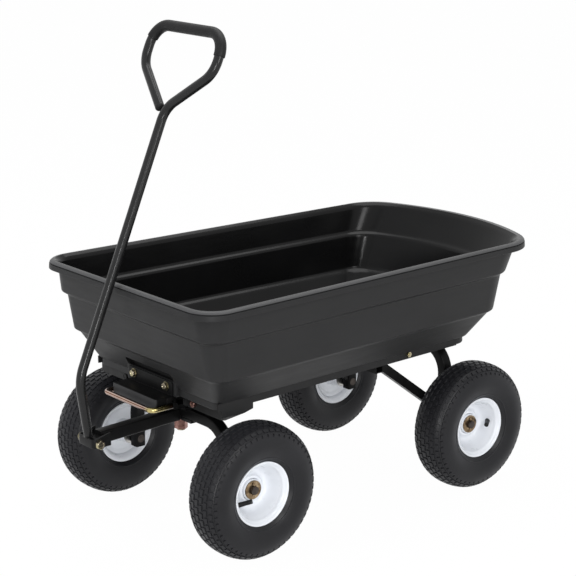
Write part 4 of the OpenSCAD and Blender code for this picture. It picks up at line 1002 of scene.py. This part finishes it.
def bracket_shape():
    """Folded sheet: back plate, shelf with round front corners and a skirt round its front."""
    # Shelf's corner radius, half width, front and back, then the skirt's end and the sheet's thickness
    r, w, front, back, skirt_end, t = 5.0, 70.0, -390.0, -349.0, -365.0, 3.0
    plan = []
    for cx, a0 in ((w - r, 0), (-(w - r), -90)):
        for j in range(9):
            a = math.radians(a0 - 90 * j / 8)
            plan.append((cx + r * math.cos(a), front + r + r * math.sin(a)))
    plan = [(w, skirt_end)] + plan + [(-w, skirt_end)]
    inner = []
    for x, y in plan:
        cx = max(-(w - r), min(w - r, x))
        cy = max(front + r, y)
        d = Vector((x - cx, y - cy))
        k = (d.length - t) / d.length
        inner.append((cx + d.x * k, cy + d.y * k))
    strip = []
    for z, less in ((266, 0.6), (266.3, 0.15), (266.9, 0), (285.5, 0), (287.2, 0.5), (288, 2.2)):
        ring = []
        for (x, y), (u, v) in zip(plan, inner):
            d = Vector((u - x, v - y)).normalized() * less
            ring.append((x + d.x, y + d.y, z))
        for (x, y), (u, v) in zip(reversed(plan), reversed(inner)):
            d = Vector((x - u, y - v)).normalized() * min(less, 0.6)
            ring.append((u + d.x, v + d.y, z))
        strip.append(ring)
    skirt = loft(strip)
    edge = plan + [(-w, back), (w, back)]
    shelf_rings = []
    for z, less in ((285, 0.9), (286.8, 0.5), (287.7, 1.4), (288, 2.6)):
        shelf_rings.append([(x - math.copysign(less, x), y + (less if y <= skirt_end else 0), z)
                            for x, y in edge])
    plate = box_shape((-w, back - t, 286), (w, back, 314), 4, 1)
    ears = mirror(box_shape((w - t, -364.1, 261), (w, -343.1, 286.5), 6, 0))
    return join(skirt, loft(shelf_rings), plate, ears)


piece("latch_plate", bracket_shape(), "bed", ["latch_bracket"], bracket_paint, 40)


def bail_shape():
    """Round rod bent to a U, whose ends meet the latch shaft."""
    x, z, shaft_y, bend = 75.7, 271, -352.1, 11.5
    corners = [(-x, shaft_y, z), (-x, BAIL_FRONT, z), (x, BAIL_FRONT, z), (x, shaft_y, z)]
    return sweep(fillet(corners, [0, bend, bend, 0], 14), circle(10, 36), (0, 0, 1))


piece("bail_rod", bail_shape(), "release_bail", ["bail"], bail_zinc, 40)

# M8 bolts: hexagon across its corners, height of the head, diameter of the shank
HEAD_D, HEAD_H, M8 = 14, 5, 8
BRACKET_FACE, BRACKET_BOLT_X, BRACKET_BOLT_Z, RING_T = -352, 51.5, 303, 1.6
bolts, rings = [], []
for x, spin in ((-BRACKET_BOLT_X, 0.75), (BRACKET_BOLT_X, 0.3)):
    seat_y = BRACKET_FACE - RING_T
    bolts.append(hexagon((x, seat_y, BRACKET_BOLT_Z), (0, -1, 0), HEAD_D, HEAD_H, spin))
    bolts.append(shank((x, 0, BRACKET_BOLT_Z), (0, 1, 0), M8, seat_y, -324))
    rings.append(washer((x, BRACKET_FACE, BRACKET_BOLT_Z), (0, -1, 0), 18, 8.2, RING_T, 0.5))
piece("bracket_bolt_heads", join(*bolts), "bed", ["bracket_bolts"], zinc, 35)
piece("bracket_rings", join(*rings), "bed", ["bracket_washers"], washer_zinc, 35)

GUSSET_X, GUSSET_Z = 108, 278
gusset = []
for x in (-GUSSET_X, GUSSET_X):
    gusset.append(hexagon((x, -330.9, GUSSET_Z), (0, -1, 0), HEAD_D, HEAD_H, 0.4))
    gusset.append(shank((x, 0, GUSSET_Z), (0, 1, 0), M8, -331, -317))


def shade_left_bolt(face):
    """Picks black paint for the left bolt, painted shade where it sits dark under the bracket."""
    return 1 if face.center.x < 0 else 0


piece("gusset_bolt_heads", join(*gusset), "bed", ["gusset_bolts"],
      [pink_zinc, powder], 35, shade_left_bolt)


# Handle

LEAN = math.radians(23.07)
SHAFT = Vector((0, math.sin(LEAN), math.cos(LEAN)))
PIVOT = Vector((0, -487, 212))
FOOT = Vector((0, -492.5, 222))
KNEE = Vector((0, -509.1, 333.5))
# The loop: where it leaves the shaft, half its width, its rise to the shoulders and to the crossbar, and
# how far its open end stops short of the shaft
FORK = KNEE + SHAFT * 519
SIDE = Vector((106, 0, 0))
SHOULDER, CROSSBAR = SHAFT * 78, SHAFT * 152
SHORT = Vector((16, 0, 0))
HANDLE = [FOOT, KNEE, FORK, FORK + SIDE + SHOULDER, FORK + SIDE + CROSSBAR,
          FORK - SIDE + CROSSBAR, FORK - SIDE + SHOULDER, FORK - SHORT]
KNEE_BEND, BEND, CORNER = 90, 48, 41.5
BENDS = [0, KNEE_BEND, BEND, BEND, CORNER, CORNER, BEND, 0]


def tube_with_ends(path, d, r, n):
    """Round bar of diameter d along a path, with the edges of both ends rounded to r."""
    steps = 4
    ahead, back = (path[1] - path[0]).normalized(), (path[-2] - path[-1]).normalized()
    quarter = [math.pi / 2 * k / steps for k in range(steps)]
    head = [path[0] + ahead * r * (1 - math.cos(t)) for t in quarter]
    tail = [path[-1] + back * r * (1 - math.cos(t)) for t in reversed(quarter)]
    thin = [1 - r * (1 - math.sin(t)) / (d / 2) for t in quarter]
    points = head + [path[0] + ahead * r] + path[1:-1] + [path[-1] + back * r] + tail
    return sweep(points, circle(d, n), (1, 0, 0), thin + [1] * len(path) + thin[::-1])


handle_path = fillet(HANDLE, BENDS, 20)
piece("handle_pipe", tube_with_ends(handle_path, 18, 1.2, 36), "handle", ["handle_tube"],
      handle_paint_lit, 45)

# The sleeve starts with the right corner and stops before the end of the left one
grip_path = fillet(HANDLE[3:7], [0, CORNER, CORNER, 0], 18)[1:-5]
piece("grip_sleeve", tube_with_ends(grip_path, 21.2, 1.0, 40), "handle", ["grip"],
      grip_mat, 45)
dress("end_plug", rubber, 0.4)

# Half the width between the middles of the clevis's arms, and the strip's thickness
CLEVIS_ARM, CLEVIS_T = 25.0, 4.0


def clevis_shape():
    """Bent strip whose arms carry the bolt, with the weld at the foot of the handle."""
    arm, back, front, low, rise = CLEVIS_ARM, -461.5, -497.8, 204.5, 7.5
    corners = [(-arm, back, 0), (-arm, front, 0), (arm, front, 0), (arm, back, 0)]

    def top_at(p):
        return FOOT.z + rise * (p.y - front) / (back - front)

    parts = [bent_sheet(fillet(corners, [0, 7, 7, 0]), CLEVIS_T, low, top_at)]
    for y in (-499.7, -495.7):
        bead = [Vector((x, y, FOOT.z + 0.4)) for x in (-8, -6.8, 6.8, 8)]
        parts.append(sweep(bead, circle(3.4, 12), (0, 1, 0), [0.4, 1, 1, 0.4]))
    return join(*parts)


piece("clevis_strip", clevis_shape(), "handle", ["clevis"], powder, 40)

# M10 pivot bolt: its head and nut sit on the outer faces of the clevis
CHEEK = CLEVIS_ARM + CLEVIS_T / 2
RIGHT, LEFT = Vector((1, 0, 0)), Vector((-1, 0, 0))
PIVOT_HEAD_D, PIVOT_HEAD_H, M10 = 18.5, 7, 10
pivot_bolt = join(hexagon(PIVOT + RIGHT * CHEEK, RIGHT, PIVOT_HEAD_D, PIVOT_HEAD_H, 0.5, face_in=0.6),
                  shank(PIVOT, LEFT, M10, -CHEEK, 36, pitch=1.5, thread_from=22))
piece("pivot_bolt", pivot_bolt, "handle", ["handle_bolt"], zinc, 35)
pivot_nut = hexagon(PIVOT + LEFT * CHEEK, LEFT, PIVOT_HEAD_D, PIVOT_HEAD_H, 0.2, bore=10.1)
piece("pivot_nut", pivot_nut, "handle", ["handle_nut"], washer_zinc, 35)


# Studio

def shader(tree, kind, colour, strength=None):
    """Plain shader node of one colour."""
    node = tree.nodes.new(kind)
    node.inputs["Color"].default_value = (*colour, 1)
    if strength is not None:
        node.inputs["Strength"].default_value = strength
    return node


def math_node(tree, op, a, b):
    """Result of a sum on a socket and another socket or a number."""
    node = tree.nodes.new("ShaderNodeMath")
    node.operation = op
    tree.links.new(a, node.inputs[0])
    if hasattr(b, "is_linked"):
        tree.links.new(b, node.inputs[1])
    else:
        node.inputs[1].default_value = b
    return node.outputs[0]


def split_by_ray(tree, output, lit, seen, share=1.0):
    """Shows seen to camera, glossy and transmission rays, up to the share given, and lit to the rest."""
    rays = tree.nodes.new("ShaderNodeLightPath").outputs
    direct = math_node(tree, "MAXIMUM", rays["Is Camera Ray"], rays["Is Glossy Ray"])
    direct = math_node(tree, "MAXIMUM", direct, rays["Is Transmission Ray"])
    mix = tree.nodes.new("ShaderNodeMixShader")
    tree.links.new(math_node(tree, "MULTIPLY", direct, share), mix.inputs[0])
    tree.links.new(lit.outputs[0], mix.inputs[1])
    tree.links.new(seen.outputs[0], mix.inputs[2])
    tree.links.new(mix.outputs[0], tree.nodes.new(output).inputs["Surface"])


def studio():
    """White floor and white surroundings."""
    mesh = bpy.data.meshes.new("floor")
    bm = bmesh.new()
    bmesh.ops.create_grid(bm, x_segments=8, y_segments=8, size=40)
    bm.to_mesh(mesh)
    bm.free()
    floor = bpy.data.objects.new("floor", mesh)
    bpy.context.scene.collection.objects.link(floor)
    mat = bpy.data.materials.new("floor_white")
    mat.use_nodes = True
    mat.node_tree.nodes.clear()
    white = (1, 1, 1)
    diffuse = shader(mat.node_tree, "ShaderNodeBsdfDiffuse", (0.86, 0.86, 0.86))
    glow = shader(mat.node_tree, "ShaderNodeEmission", white)
    split_by_ray(mat.node_tree, "ShaderNodeOutputMaterial", diffuse, glow, 0.985)
    mesh.materials.append(mat)

    world = bpy.data.worlds.new("studio")
    bpy.context.scene.world = world
    world.use_nodes = True
    world.node_tree.nodes.clear()
    light = shader(world.node_tree, "ShaderNodeBackground", (0.97, 0.98, 1), 0.55)
    backdrop = shader(world.node_tree, "ShaderNodeBackground", white, 1.0)
    split_by_ray(world.node_tree, "ShaderNodeOutputWorld", light, backdrop)


def lamp(name, place, aim, size, watts, colour=(1, 1, 1), glossy=True):
    """Area lamp turned towards a point; glossy lets it show in reflections."""
    data = bpy.data.lights.new(name, "AREA")
    data.shape = "RECTANGLE"
    data.size, data.size_y = size
    data.energy = watts
    data.color = colour
    obj = bpy.data.objects.new(name, data)
    obj.location = place
    obj.visible_glossy = glossy
    obj.rotation_euler = (Vector(aim) - Vector(place)).to_track_quat("-Z", "Y").to_euler()
    bpy.context.scene.collection.objects.link(obj)


studio()
lamp("key", (-0.6, -2.9, 2.7), (0, 0, 0.35), (1.8, 1.8), 75, (0.95, 0.97, 1), False)
lamp("top", (-0.4, 0.6, 3.2), (0, 0, 0.3), (2.6, 2.0), 55)
lamp("side", (3.0, -0.5, 1.8), (0, 0, 0.3), (0.8, 1.8), 36)
lamp("strip", (3.46, -2.95, 0.75), (-0.2, 0.4, 0.45), (0.4, 1.5), 60)

# Camera fitted to the four wheels; its focal length is in pixels of the picture
FOCAL_PX, PICTURE_PX = 1790.5, 576
eye = Vector((2.62527, -2.19934 + SHIFT * MM, 1.35321))
yaw, pitch = 2.4476, -0.2663
look = Vector((math.cos(pitch) * math.cos(yaw), math.cos(pitch) * math.sin(yaw), math.sin(pitch)))
cam = bpy.data.cameras.new("camera")
cam.sensor_width = 36
cam.lens = cam.sensor_width * FOCAL_PX / PICTURE_PX
cam.clip_end = 200
camera = bpy.data.objects.new("camera", cam)
camera.location = eye
camera.rotation_euler = look.to_track_quat("-Z", "Y").to_euler()
bpy.context.scene.collection.objects.link(camera)
bpy.context.scene.camera = camera
bpy.context.scene.view_settings.view_transform = "Standard"
